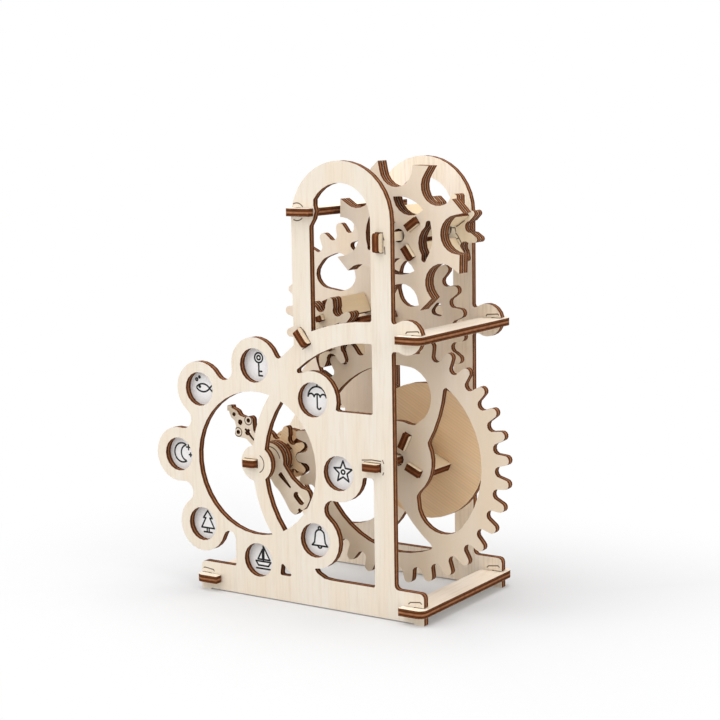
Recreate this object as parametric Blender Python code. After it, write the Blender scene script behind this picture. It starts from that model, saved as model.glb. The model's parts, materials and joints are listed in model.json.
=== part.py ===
"""Wooden mechanical puzzle: a hand-turned gear train between two plywood plates.

The sizes are in millimetres and are turned into metres where the meshes are
made.  X points to the right, Y into the depth and Z up.  Every outline is
drawn round the middle of the round dial, and the whole assembly is then
shifted so that the middle of its footprint stands on the origin.
"""

import bpy
import bmesh
from math import acos, asin, atan2, ceil, cos, degrees, hypot, pi, radians, sin, sqrt
from mathutils import Vector

MM = 0.001

# Sheet stock and fits
SHEET = 3.0
FIT = 0.3
LAYER_GAP = 0.2
CHORD_ERROR = 0.09
TAB_REACH = 2.6
DISC_SHEET = 1.0

# Depths of the front faces of the layers
FRONT_PLATE_FACE = 0.0
REAR_PLATE_FACE = 59.5
POINTER_FACE = 8.4
ROTOR_FACE = 13.4
BIG_GEAR_FACE = 16.9
POINTER_PINION_FACE = BIG_GEAR_FACE
MIDDLE_PINION_FACE = 15.3
FLANGE_FACE = 23.0
PLAIN_DISC_FACE = 36.2
MIDDLE_GEAR_FACE = 47.9
STAR_FACE = 47.9

# Gear train
MODULE = 2.8
REAR_MODULE = 2.873
STAR_TEETH = 8
MIDDLE_GEAR_TEETH = 28
MIDDLE_PINION_TEETH = 8
BIG_GEAR_TEETH = 32
POINTER_PINION_TEETH = 7
BIG_GEAR_PHASE = 4.9
MIDDLE_GEAR_PHASE = 8.5
TOOTH_DEPTH_BELOW = 3.1
WHEEL_TOOTH_ABOVE = 2.9
REAR_WHEEL_TOOTH_ABOVE = 2.3
WHEEL_TIP_ROUND = 1.85
WHEEL_VALLEY_ROUND = 2.1
PINION_TOOTH_ABOVE = 2.6
PINION_TIP_ROUND = 1.35
PINION_VALLEY_ROUND = 2.3
STAR_TOOTH_ABOVE = 2.7
STAR_TIP_ROUND = 1.25

# Axles, from the dial axle at the origin
DIAL_TO_DRIVE_ANGLE = 4.3
DRIVE_TO_MIDDLE_ANGLE = 123.55
MIDDLE_TO_ROTOR_ANGLE = 48.0
STRIP_SHAFT_WIDTH = 3.4
STRIP_END_ROUND = 1.0
SHAFT_CORNER = hypot(STRIP_SHAFT_WIDTH, SHEET) / 2
HUB_BORE = SHAFT_CORNER + FIT
ROTOR_STRIP_TURN = 90.0
MIDDLE_STRIP_TURN = -53.0
DIAL_HEAD = (-5.3, 0.5)
DRIVE_HEAD = (-4.1, 2.9)
MIDDLE_HEAD = (-3.5, 3.5)
ROTOR_HEAD = (-5.2, 1.8)

# Dial
WINDOW_COUNT = 8
WINDOW_CIRCLE = 38.5
WINDOW_RADIUS = 6.75
LOBE_RADIUS = 11.0
VALLEY_REACH = 34.6
DIAL_OPENING = 28.3
BRACE_RADIUS = 44.5
BRACE_OFFSET = 1.0
BRACE_CENTRE = (BRACE_OFFSET + BRACE_RADIUS, 0.0)
BRACE_WIDTH = 5.5
DIAL_HUB = 7.2
PICTURE_RADIUS = 8.5

# Base and tower of both plates
FLOOR = -53.6
FOOT_STEP = 0.45
UPRIGHT_INNER = 54.3
UPRIGHT_OUTER = 62.87
LEFT_FOOT = (-28.4, -24.0)
RIGHT_FOOT = (UPRIGHT_OUTER + 8.63, UPRIGHT_OUTER + 12.73)
BASE_LEFT_TOP = -42.3
BASE_RIGHT_TOP = -41.6
BASE_CORNER = 1.9
NOTCH_WALL = -10.9
NOTCH_ROUND = 3.0
FOOT_FILLET = 1.8
BODY_TOP = 23.7
BODY_UNDERSIDE = -0.3
SILL = -42.0
TOWER_LEFT = 19.08
TOWER_LEFT_INNER = 27.3
ARCH_CENTRE = ((TOWER_LEFT + UPRIGHT_OUTER) / 2, 95.2)
ARCH_RADIUS = (UPRIGHT_OUTER - TOWER_LEFT) / 2
ARCH_OPENING_CENTRE = ((TOWER_LEFT_INNER + UPRIGHT_INNER) / 2, 95.5)
ARCH_OPENING_RADIUS = (UPRIGHT_INNER - TOWER_LEFT_INNER) / 2
EAR_CENTRE = (UPRIGHT_OUTER + 6.43, 53.3)
EAR_RADIUS = 6.45
EAR_ROOT_TOP = EAR_CENTRE[1] + 3.9
EAR_ROOT_BOTTOM = EAR_CENTRE[1] - 5.4
BAND_UNDER_START = (20.5, 38.5)
BAND_UNDER_MIDDLE = (37.5, 47.9)
BAND_UNDER_END = (53.3, 50.2)
BAND_OVER_START = (27.3, 53.3)
BAND_OVER_MIDDLE = (40.0, 56.9)
BAND_OVER_END = (53.6, 58.2)
WEDGE_SLOT = ((11.2, -37.8), (10.4, -43.1), (16.8, -43.0))

# Ring of the rear plate
REAR_RING_CENTRE = (2.5, -11.5)
REAR_RING_OUTER = 32.5
REAR_RING_INNER = 24.5
REAR_STRUT_WIDTH = 8.0
REAR_DRIVE_BOSS = 9.5

# Cross plates, each with its left and right edge, the height of its middle,
# the end of the slot in the upright plates and the side that slot opens to
CROSS_OVERHANG = 3.5
CROSS_CORNER = 3.0
BASE_CROSS_HEIGHT = FLOOR + 5.0
TOP_CROSS = (TOWER_LEFT - 1.28, TOWER_LEFT + 10.32, ARCH_CENTRE[1] + 2.75, TOWER_LEFT + 4.52,
             "left")
MIDDLE_CROSS = (EAR_CENTRE[0] - 2.9, EAR_CENTRE[0] + 7.7, EAR_CENTRE[1] - 0.6,
                EAR_CENTRE[0] + 2.1, "right")
LEFT_BASE_CROSS = (LEFT_FOOT[0] - 0.5, LEFT_FOOT[0] + 9.8, BASE_CROSS_HEIGHT,
                   LEFT_FOOT[0] + 4.8, "left")
RIGHT_BASE_CROSS = (RIGHT_FOOT[0] - 5.0, RIGHT_FOOT[1] + 1.6, BASE_CROSS_HEIGHT,
                    RIGHT_FOOT[0] - 0.1, "right")

# Rotor
ROTOR_ARM_COUNT = 8
ROTOR_ARM_TURN = 24.8
ROTOR_SHEET_COUNT = 2
BITE_CIRCLE = 25.0
BITE_RADIUS = 7.2
BITE_SWEEP = 95.0
ARM_LEADING_CORNER = (28.8, -7.0)
ARM_TRAILING_CORNER = (26.6, 6.5)
SLOT_OUTER = 14.5
SLOT_INNER = 8.6
CRESCENT_POINT = 42.5
CRESCENT_BLUNT = 98.7
CRESCENT_DEEPEST = 80.0
CRESCENT_MIRROR = -10.0
CLIP_LOW = -42.0
CLIP_HIGH = 24.0

# Blades that join the wheels of a body, as inner edge and outer edge radius
BLADE_COUNT = 4
BLADE_INNER = 4.9
BLADE_WIDE = 11.2
ROTOR_BLADE_OUTER = 10.2
ROTOR_BLADE_TURN = 35.0
STAR_BLADE_OUTER = 7.0
DRIVE_BLADE_TURN = -25.0
MIDDLE_BLADE_TURN = 22.0
MIDDLE_PINION_BLADE_OUTER = 7.0
POINTER_BLADE_TURN = 45.0
POINTER_BLADE_OUTER = 5.9
FLANGE_BLADE_OUTER = 8.4
BLADE_TAB = 1.8
BLADE_SHOULDER = 1.5
MIDDLE_OPENING_TURN = -3.0

# Other discs
PLAIN_DISC_RADIUS = 26.6
FLANGE_RADIUS = 9.8

# Pointer
POINTER_TURN = 135.0
POINTER_HUB = 6.9
POINTER_NECK = 1.9

# Colours of the cut plywood and of the printed discs
PALE_BIRCH = (0.80, 0.66, 0.47)
WARM_BIRCH = (0.74, 0.57, 0.39)
TAN_BIRCH = (0.66, 0.47, 0.30)
GREY_BIRCH = (0.62, 0.52, 0.42)
PRINT_WHITE = (0.74, 0.75, 0.76)


def polar(radius, angle, centre=(0.0, 0.0)):
    """Point at a radius and an angle in degrees round a centre."""
    turn = radians(angle)
    return (centre[0] + radius * cos(turn), centre[1] + radius * sin(turn))


def bearing(start, end):
    """Angle in degrees of the way from one point to another."""
    return degrees(atan2(end[1] - start[1], end[0] - start[0]))


def arc(centre, radius, start, end):
    """Points of an arc from one angle to another, close enough to the circle."""
    step = 2 * degrees(acos(1 - CHORD_ERROR / max(radius, 4 * CHORD_ERROR)))
    count = max(2, ceil(abs(end - start) / step))
    return [polar(radius, start + (end - start) * i / count, centre) for i in range(count + 1)]


def circle(centre, radius):
    """Closed round outline."""
    return arc(centre, radius, 0.0, 360.0)[:-1]


def arc_through(start, middle, end):
    """Arc through three points."""
    ax, az = start
    bx, bz = middle[0] - ax, middle[1] - az
    cx, cz = end[0] - ax, end[1] - az
    spread = 2 * (bx * cz - bz * cx)
    reach_b = bx * bx + bz * bz
    reach_c = cx * cx + cz * cz
    centre = (ax + (cz * reach_b - bz * reach_c) / spread,
              az + (bx * reach_c - cx * reach_b) / spread)
    first = bearing(centre, start)
    last = bearing(centre, end)
    half = (bearing(centre, middle) - first) % 360
    sweep = (last - first) % 360
    if half > sweep:
        sweep -= 360
    return arc(centre, hypot(ax - centre[0], az - centre[1]), first, first + sweep)


def circles_cross(first, first_radius, second, second_radius):
    """The two points where two circles cross, the one left of the way between them first."""
    span = hypot(second[0] - first[0], second[1] - first[1])
    along = (span ** 2 + first_radius ** 2 - second_radius ** 2) / (2 * span)
    aside = sqrt(first_radius ** 2 - along ** 2)
    way = bearing(first, second)
    spread = degrees(atan2(aside, along))
    return polar(first_radius, way + spread, first), polar(first_radius, way - spread, first)


def rounded(corners):
    """Closed outline whose corners with a third value are rounded to that radius."""
    points = []
    for index, corner in enumerate(corners):
        if len(corner) == 2:
            points.append(corner)
            continue
        here = Vector(corner[:2])
        before = Vector(corners[index - 1][:2]) - here
        after = Vector(corners[(index + 1) % len(corners)][:2]) - here
        half = before.angle(after) / 2
        reach = min(corner[2] / sin(half) * cos(half), before.length * 0.9, after.length * 0.9)
        radius = reach * sin(half) / cos(half)
        middle = here + (before.normalized() + after.normalized()).normalized() * (radius / sin(half))
        start = bearing(middle, here + before.normalized() * reach)
        end = bearing(middle, here + after.normalized() * reach)
        sweep = (end - start + 180) % 360 - 180
        points += arc(middle, radius, start, start + sweep)
    return points


def turned(points, angle, centre=(0.0, 0.0)):
    """The same outline turned anticlockwise and moved to a centre."""
    c, s = cos(radians(angle)), sin(radians(angle))
    return [(centre[0] + p[0] * c - p[1] * s, centre[1] + p[0] * s + p[1] * c) for p in points]


def box_outline(width, height, centre=(0.0, 0.0), angle=0.0):
    """Closed rectangle round a centre."""
    w, h = width / 2, height / 2
    return turned([(-w, -h), (w, -h), (w, h), (-w, h)], angle, centre)


def gear_outline(teeth, module, above, tip_round, valley_round, phase):
    """Round-tipped teeth with round valleys and a tooth centred at the phase angle."""
    pitch_radius = module * teeth / 2
    tip_centre = pitch_radius + above - tip_round
    valley_centre = pitch_radius - TOOTH_DEPTH_BELOW + valley_round
    pitch = 360.0 / teeth
    points = []
    for index in range(teeth):
        tooth = phase + pitch * index
        points += arc(polar(tip_centre, tooth), tip_round, tooth - 90, tooth + 90)
        valley = tooth + pitch / 2
        points += arc(polar(valley_centre, valley), valley_round, valley + 270, valley + 90)
    return points


def wheel_outline(teeth, module, above, phase):
    """Outline of a large wheel."""
    return gear_outline(teeth, module, above, WHEEL_TIP_ROUND, WHEEL_VALLEY_ROUND, phase)


def pinion_outline(teeth, phase):
    """Outline of a small wheel."""
    return gear_outline(teeth, MODULE, PINION_TOOTH_ABOVE, PINION_TIP_ROUND, PINION_VALLEY_ROUND,
                        phase)


def meshed_phase(teeth, phase, other_teeth, way):
    """Phase of a wheel that meshes with another one lying in the direction of way."""
    share = (way - phase) * teeth / 360.0
    return way + 180.0 - (0.5 - share) * 360.0 / other_teeth


# Places of the axles, worked out from the tooth counts
DIAL_AXLE = (0.0, 0.0)
DRIVE_AXLE = polar(MODULE * (POINTER_PINION_TEETH + BIG_GEAR_TEETH) / 2, DIAL_TO_DRIVE_ANGLE)
MIDDLE_AXLE = polar(MODULE * (MIDDLE_PINION_TEETH + BIG_GEAR_TEETH) / 2,
                    DRIVE_TO_MIDDLE_ANGLE, DRIVE_AXLE)
ROTOR_AXLE = polar(REAR_MODULE * (STAR_TEETH + MIDDLE_GEAR_TEETH) / 2,
                   MIDDLE_TO_ROTOR_ANGLE, MIDDLE_AXLE)
# Each axle strip with its place, its turn and the reach of its head to both sides
AXLES = (
    ("dial_axle_strip", DIAL_AXLE, 0.0, DIAL_HEAD),
    ("drive_axle_strip", DRIVE_AXLE, 0.0, DRIVE_HEAD),
    ("middle_axle_strip", MIDDLE_AXLE, MIDDLE_STRIP_TURN, MIDDLE_HEAD),
    ("rotor_axle_strip", ROTOR_AXLE, ROTOR_STRIP_TURN, ROTOR_HEAD),
)


def clear_scene():
    """Empties the scene that the script runs in."""
    for item in list(bpy.data.objects):
        bpy.data.objects.remove(item, do_unlink=True)


def make_material(name, colour, roughness):
    """Plain finish of one piece."""
    material = bpy.data.materials.new(name)
    material.use_nodes = True
    shader = material.node_tree.nodes["Principled BSDF"]
    shader.inputs["Base Color"].default_value = (*colour, 1.0)
    shader.inputs["Roughness"].default_value = roughness
    shader.inputs["Metallic"].default_value = 0.0
    return material


def make_collection(name):
    """New collection linked to the scene."""
    collection = bpy.data.collections.new(name)
    bpy.context.scene.collection.children.link(collection)
    return collection


def add_empty(collection, name, place, parent=None):
    """Empty that carries one body, with its origin on the body's axis."""
    empty = bpy.data.objects.new(name, None)
    empty.empty_display_size = 0.01
    empty.location = [value * MM for value in place]
    empty.parent = parent
    collection.objects.link(empty)
    return empty


def outline_mesh(name, outlines, thickness):
    """Mesh of a sheet cut to closed outlines, the later ones being its holes."""
    curve = bpy.data.curves.new(name, "CURVE")
    curve.dimensions = "2D"
    curve.fill_mode = "BOTH"
    curve.extrude = thickness * MM / 2
    for outline in outlines:
        spline = curve.splines.new("POLY")
        spline.points.add(len(outline) - 1)
        for point, (x, z) in zip(spline.points, outline):
            point.co = (x * MM, z * MM, 0.0, 1.0)
        spline.use_cyclic_u = True
    holder = bpy.data.objects.new(name, curve)
    bpy.context.scene.collection.objects.link(holder)
    graph = bpy.context.evaluated_depsgraph_get()
    mesh = bpy.data.meshes.new_from_object(holder.evaluated_get(graph))
    bpy.data.objects.remove(holder, do_unlink=True)
    shape = bmesh.new()
    shape.from_mesh(mesh)
    bmesh.ops.remove_doubles(shape, verts=shape.verts, dist=0.002 * MM)
    bmesh.ops.recalc_face_normals(shape, faces=shape.faces)
    shape.to_mesh(mesh)
    shape.free()
    mesh.name = name
    return mesh


def add_piece(collection, name, mesh, material, parent, place, turn=(0.0, 0.0, 0.0)):
    """One piece at its place on the body that carries it."""
    piece = bpy.data.objects.new(name, mesh)
    if not mesh.materials:
        mesh.materials.append(material)
    piece.location = [value * MM for value in place]
    piece.rotation_euler = [radians(value) for value in turn]
    piece.parent = parent
    collection.objects.link(piece)
    mesh.shade_smooth()
    mesh.set_sharp_from_angle(angle=radians(30))
    return piece


def add_sheet(collection, name, outlines, material, parent, face, turn=0.0, thickness=SHEET):
    """Upright sheet whose front face lies at a depth, turned round the body's axis."""
    mesh = outline_mesh(name, outlines, thickness)
    place = (0.0, face + thickness / 2, 0.0)
    return add_piece(collection, name, mesh, material, parent, place, (90.0, -turn, 0.0))


def lobe_centre(index):
    """Centre of one window of the dial."""
    return polar(WINDOW_CIRCLE, 360.0 * index / WINDOW_COUNT)


def valley_round():
    """Radius of the hollow between two lobes that just reaches its set depth."""
    middle = 2 * WINDOW_CIRCLE * cos(pi / WINDOW_COUNT)
    free = VALLEY_REACH ** 2 + WINDOW_CIRCLE ** 2 - VALLEY_REACH * middle - LOBE_RADIUS ** 2
    return free / (2 * LOBE_RADIUS - 2 * VALLEY_REACH + middle)


def valley_centre(index):
    """Centre of the hollow that follows a lobe anticlockwise."""
    return polar(VALLEY_REACH + valley_round(), 360.0 * (index + 0.5) / WINDOW_COUNT)


def lobe_arc(index, start, end):
    """Anticlockwise outline of one lobe."""
    return arc(lobe_centre(index), LOBE_RADIUS, start, start + (end - start) % 360.0)


def valley_arc(index):
    """Outline of the hollow after a lobe, from that lobe to the next one."""
    centre = valley_centre(index)
    start = bearing(centre, lobe_centre(index))
    end = bearing(centre, lobe_centre(index + 1))
    return arc(centre, valley_round(), start, start - (start - end) % 360.0)


def dial_run(first, last, start, end):
    """Outline of the dial edge from an angle on one lobe to an angle on another."""
    points = []
    for index in range(first, last + 1):
        centre = lobe_centre(index)
        begin = start if index == first else bearing(centre, valley_centre(index - 1))
        finish = end if index == last else bearing(centre, valley_centre(index))
        points += lobe_arc(index, begin, finish)
        if index < last:
            points += valley_arc(index)[1:-1]
    return points


def slot_cut(cross, wall):
    """Corners of the slot that a cross plate takes in the outer wall of a plate."""
    height, end = cross[2], cross[3]
    low, high = height - SHEET / 2 - FIT, height + SHEET / 2 + FIT
    if cross[4] == "left":
        return [(wall(high), high), (end, high), (end, low), (wall(low), low)]
    return [(wall(low), low), (end, low), (end, high), (wall(high), high)]


def base_right_side():
    """Outline from the left foot along the floor and up to the ear."""
    foot_left, foot_right = RIGHT_FOOT
    return [
        (LEFT_FOOT[0], FLOOR),
        (LEFT_FOOT[1], FLOOR),
        (LEFT_FOOT[1] + FOOT_STEP, FLOOR + FOOT_STEP),
        (foot_left - FOOT_STEP, FLOOR + FOOT_STEP),
        (foot_left, FLOOR),
        (foot_right, FLOOR),
        *slot_cut(RIGHT_BASE_CROSS, lambda height: foot_right),
        (foot_right, BASE_RIGHT_TOP, BASE_CORNER),
        (UPRIGHT_OUTER, BASE_RIGHT_TOP, FOOT_FILLET),
    ]


def ear_and_arch():
    """Outline from under the ear over the arch to the left wall of the tower."""
    def ear_wall(height):
        return EAR_CENTRE[0] + sqrt(EAR_RADIUS ** 2 - (height - EAR_CENTRE[1]) ** 2)

    slot = slot_cut(MIDDLE_CROSS, ear_wall)
    lower = arc(EAR_CENTRE, EAR_RADIUS, 238.0, 360.0 + bearing(EAR_CENTRE, slot[0]))
    upper = arc(EAR_CENTRE, EAR_RADIUS, bearing(EAR_CENTRE, slot[3]), 122.0)
    top_slot = slot_cut(TOP_CROSS, lambda height: ARCH_CENTRE[0] - sqrt(
        ARCH_RADIUS ** 2 - max(0.0, height - ARCH_CENTRE[1]) ** 2))
    right_arch = arc(ARCH_CENTRE, ARCH_RADIUS, 0.0, bearing(ARCH_CENTRE, top_slot[0]))
    return [
        (UPRIGHT_OUTER, EAR_ROOT_BOTTOM, 1.2),
        *lower[:-1],
        *slot,
        *upper[1:],
        (UPRIGHT_OUTER, EAR_ROOT_TOP, 1.2),
        *right_arch[:-1],
        *top_slot,
        (TOWER_LEFT, ARCH_CENTRE[1]),
    ]


def base_left_side():
    """Outline of the raised left end of the base."""
    wall = LEFT_FOOT[0]
    return [
        (wall, BASE_LEFT_TOP, BASE_CORNER),
        *slot_cut(LEFT_BASE_CROSS, lambda height: wall),
    ]


def tower_window():
    """Opening of the tower, with a bulge that leaves wood round the top slot."""
    ledge = arc_through(BAND_OVER_START, BAND_OVER_MIDDLE, BAND_OVER_END)
    crown = arc(ARCH_OPENING_CENTRE, ARCH_OPENING_RADIUS, 0.0, 148.0)
    height = TOP_CROSS[2]
    return rounded([
        *ledge,
        (UPRIGHT_INNER, BAND_OVER_END[1] + 0.4, 1.0),
        *crown,
        (29.3, height + 2.6),
        (29.9, height + 0.4),
        (29.0, height - 2.6),
        (TOWER_LEFT_INNER, height - 5.2, 2.0),
    ])


def head_slots():
    """Slots of the front plate for the wide heads of the four axle strips."""
    return [box_outline(head[1] - head[0] + 2 * FIT, SHEET + 2 * FIT,
                        polar((head[0] + head[1]) / 2, angle, place), angle)
            for name, place, angle, head in AXLES]


def shaft_slots():
    """Slots of the rear plate for the narrow ends of the four axle strips."""
    return [box_outline(STRIP_SHAFT_WIDTH + 2 * FIT, SHEET + 2 * FIT, place, angle)
            for name, place, angle, head in AXLES]


def strip_outline(head):
    """Plan of an axle strip: a wide head on a narrow shaft."""
    half = STRIP_SHAFT_WIDTH / 2
    left, right = head
    near, shoulder = -TAB_REACH, SHEET + FIT
    far = REAR_PLATE_FACE + SHEET + TAB_REACH
    return rounded([
        (left, near, STRIP_END_ROUND), (right, near, STRIP_END_ROUND), (right, shoulder),
        (half, shoulder), (half, far, STRIP_END_ROUND), (-half, far, STRIP_END_ROUND),
        (-half, shoulder), (left, shoulder),
    ])


def brace_halves():
    """The two openings of the dial, left and right of the curved brace."""
    outer = BRACE_RADIUS + BRACE_WIDTH / 2
    inner = BRACE_RADIUS - BRACE_WIDTH / 2
    halves = []
    for radius, hub_side in ((outer, 1), (inner, -1)):
        ends = circles_cross(DIAL_AXLE, DIAL_OPENING, BRACE_CENTRE, radius)
        hub = circles_cross(DIAL_AXLE, DIAL_HUB, BRACE_CENTRE, radius)
        top, bottom = ends
        hub_top, hub_bottom = hub
        centre = BRACE_CENTRE
        if hub_side == 1:
            rim = arc(DIAL_AXLE, DIAL_OPENING, bearing(DIAL_AXLE, top),
                      bearing(DIAL_AXLE, bottom) + 360.0)
            hub_arc = arc(DIAL_AXLE, DIAL_HUB, bearing(DIAL_AXLE, hub_bottom) + 360.0,
                          bearing(DIAL_AXLE, hub_top))
        else:
            rim = arc(DIAL_AXLE, DIAL_OPENING, bearing(DIAL_AXLE, top),
                      bearing(DIAL_AXLE, bottom))
            hub_arc = arc(DIAL_AXLE, DIAL_HUB, bearing(DIAL_AXLE, hub_bottom),
                          bearing(DIAL_AXLE, hub_top))
        lower = arc(centre, radius, bearing(centre, bottom) % 360, bearing(centre, hub_bottom) % 360)
        upper = arc(centre, radius, bearing(centre, hub_top) % 360, bearing(centre, top) % 360)
        halves.append(rim + lower[1:-1] + hub_arc + upper[1:-1])
    return halves


def window_under_band():
    """Opening between the dial lobe, the printed body and the arched band."""
    lobe = lobe_arc(1, -16.0, 112.0)
    band = arc_through(BAND_UNDER_START, BAND_UNDER_MIDDLE, BAND_UNDER_END)
    return rounded([
        (38.8, BODY_TOP, 0.8),
        *lobe,
        (19.6, 36.6, 0.8),
        *band,
        (UPRIGHT_INNER, BAND_UNDER_END[1], 0.6),
        (UPRIGHT_INNER, BODY_TOP, 0.8),
    ])


def lower_opening():
    """Opening at the lower right, whose left side follows two lobes."""
    side = dial_run(7, 8, -90.0, 356.0)
    return rounded([
        (UPRIGHT_INNER, BODY_UNDERSIDE, 0.8),
        (50.2, BODY_UNDERSIDE, 0.5),
        *reversed(side),
        (26.9, -38.7),
        (28.0, -40.1),
        (31.2, -41.7),
        (34.5, SILL),
        (UPRIGHT_INNER, SILL, 0.8),
    ])


def front_plate_outlines():
    """All outlines of the front plate, the outer edge first."""
    notch_centre = (NOTCH_WALL - NOTCH_ROUND, 0.0)
    lobe = lobe_centre(5)
    across = notch_centre[0] - lobe[0]
    notch_centre = (notch_centre[0], lobe[1] - sqrt((LOBE_RADIUS + NOTCH_ROUND) ** 2 - across ** 2))
    meet = bearing(lobe, notch_centre)
    dial = dial_run(2, 5, 26.0, meet)
    hollow = arc(notch_centre, NOTCH_ROUND, bearing(notch_centre, lobe), 0.0)
    edge = rounded([
        *base_right_side(),
        *ear_and_arch(),
        (TOWER_LEFT, 47.5, 1.0),
        (11.2, 41.1, 1.6),
        *dial,
        *hollow[1:],
        (NOTCH_WALL, BASE_LEFT_TOP, 0.8),
        *base_left_side(),
    ])
    windows = [circle(lobe_centre(index), WINDOW_RADIUS) for index in range(WINDOW_COUNT)]
    wedge = rounded([(x, z, 0.7) for x, z in WEDGE_SLOT])
    return [edge, *windows, *brace_halves(), window_under_band(), tower_window(),
            lower_opening(), wedge, *head_slots()]


def strut_crossing(centre, radius, side, right):
    """Angle round a centre where one edge of the rear strut crosses a circle."""
    way = radians(DIAL_TO_DRIVE_ANGLE)
    offset = side * REAR_STRUT_WIDTH / 2 + centre[0] * sin(way) - centre[1] * cos(way)
    half = degrees(acos(offset / radius))
    normal = DIAL_TO_DRIVE_ANGLE + 90.0
    return normal - half if right else normal + half


def ring_half(side):
    """Opening inside the rear ring, above or below the strut."""
    start = strut_crossing(REAR_RING_CENTRE, REAR_RING_INNER, side, side > 0)
    end = strut_crossing(REAR_RING_CENTRE, REAR_RING_INNER, side, side < 0)
    rim = arc(REAR_RING_CENTRE, REAR_RING_INNER, start, start + (end - start) % 360.0)
    hub_start = strut_crossing(DIAL_AXLE, DIAL_HUB, side, side < 0)
    hub_end = strut_crossing(DIAL_AXLE, DIAL_HUB, side, side > 0)
    hub = arc(DIAL_AXLE, DIAL_HUB, hub_start, hub_start - (hub_start - hub_end) % 360.0)
    return rim + hub


def rear_bay(side):
    """Opening between the rear ring, the strut and the right upright."""
    boss_start = strut_crossing(DRIVE_AXLE, REAR_DRIVE_BOSS, side, False)
    boss_end = side * degrees(acos((UPRIGHT_INNER - DRIVE_AXLE[0]) / REAR_DRIVE_BOSS)) % 360.0
    boss = arc(DRIVE_AXLE, REAR_DRIVE_BOSS, boss_start, boss_end)
    ring_strut = strut_crossing(REAR_RING_CENTRE, REAR_RING_OUTER, side, True)
    if side > 0:
        wall = degrees(acos((TOWER_LEFT_INNER - REAR_RING_CENTRE[0]) / REAR_RING_OUTER))
        ring = arc(REAR_RING_CENTRE, REAR_RING_OUTER, wall, ring_strut)
        band = arc_through((TOWER_LEFT_INNER, 43.0), BAND_UNDER_MIDDLE, BAND_UNDER_END)
        return rounded([
            *ring,
            *boss,
            (UPRIGHT_INNER, BAND_UNDER_END[1], 0.6),
            *reversed(band),
        ])
    sill = degrees(acos((SILL - REAR_RING_CENTRE[1]) / REAR_RING_OUTER)) - 90.0
    ring = arc(REAR_RING_CENTRE, REAR_RING_OUTER, -sill, ring_strut)
    return rounded([
        *ring,
        *boss,
        (UPRIGHT_INNER, SILL, 0.8),
    ])


def rear_plate_outlines():
    """All outlines of the rear plate, the outer edge first."""
    centre, outer = REAR_RING_CENTRE, REAR_RING_OUTER
    top_angle = degrees(acos((TOWER_LEFT - centre[0]) / outer))
    foot_angle = 180.0 + degrees(atan2(centre[1] - BASE_LEFT_TOP, sqrt(
        outer ** 2 - (centre[1] - BASE_LEFT_TOP) ** 2)))
    ring = arc(centre, outer, top_angle, foot_angle)
    edge = rounded([
        *base_right_side(),
        *ear_and_arch(),
        *ring,
        *base_left_side(),
    ])
    return [edge, tower_window(), ring_half(1), ring_half(-1), rear_bay(1), rear_bay(-1),
            *shaft_slots()]


def cross_outline(cross):
    """Plan of a cross plate with a notch for each of the upright plates."""
    left, right, height, slot_end, side = cross
    front, back = -CROSS_OVERHANG, REAR_PLATE_FACE + SHEET + CROSS_OVERHANG
    notch_end = slot_end - FIT if side == "left" else slot_end + FIT
    edge = []
    for face in (FRONT_PLATE_FACE, REAR_PLATE_FACE):
        near, far = face - FIT, face + SHEET + FIT
        edge += [(near, "wall"), (near, "notch"), (far, "notch"), (far, "wall")]
    wall = right if side == "left" else left
    notches = [(wall if kind == "wall" else notch_end, depth) for depth, kind in edge]
    open_edge = left if side == "left" else right
    corners = [(wall, front), *notches, (wall, back), (open_edge, back), (open_edge, front)]
    return [rounded([(x, y, CROSS_CORNER) if x == open_edge else (x, y) for x, y in corners])]


def blade_slots(outer, turn, inner=BLADE_INNER):
    """Slots of a wheel for the four blades."""
    length = outer - inner
    return [box_outline(length + 2 * LAYER_GAP, SHEET + 2 * LAYER_GAP,
                        polar((inner + outer) / 2, turn + 360.0 * index / BLADE_COUNT),
                        turn + 360.0 * index / BLADE_COUNT) for index in range(BLADE_COUNT)]


def hub_bore():
    """Round hole that turns on the axle strip."""
    return circle((0.0, 0.0), HUB_BORE)


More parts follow.
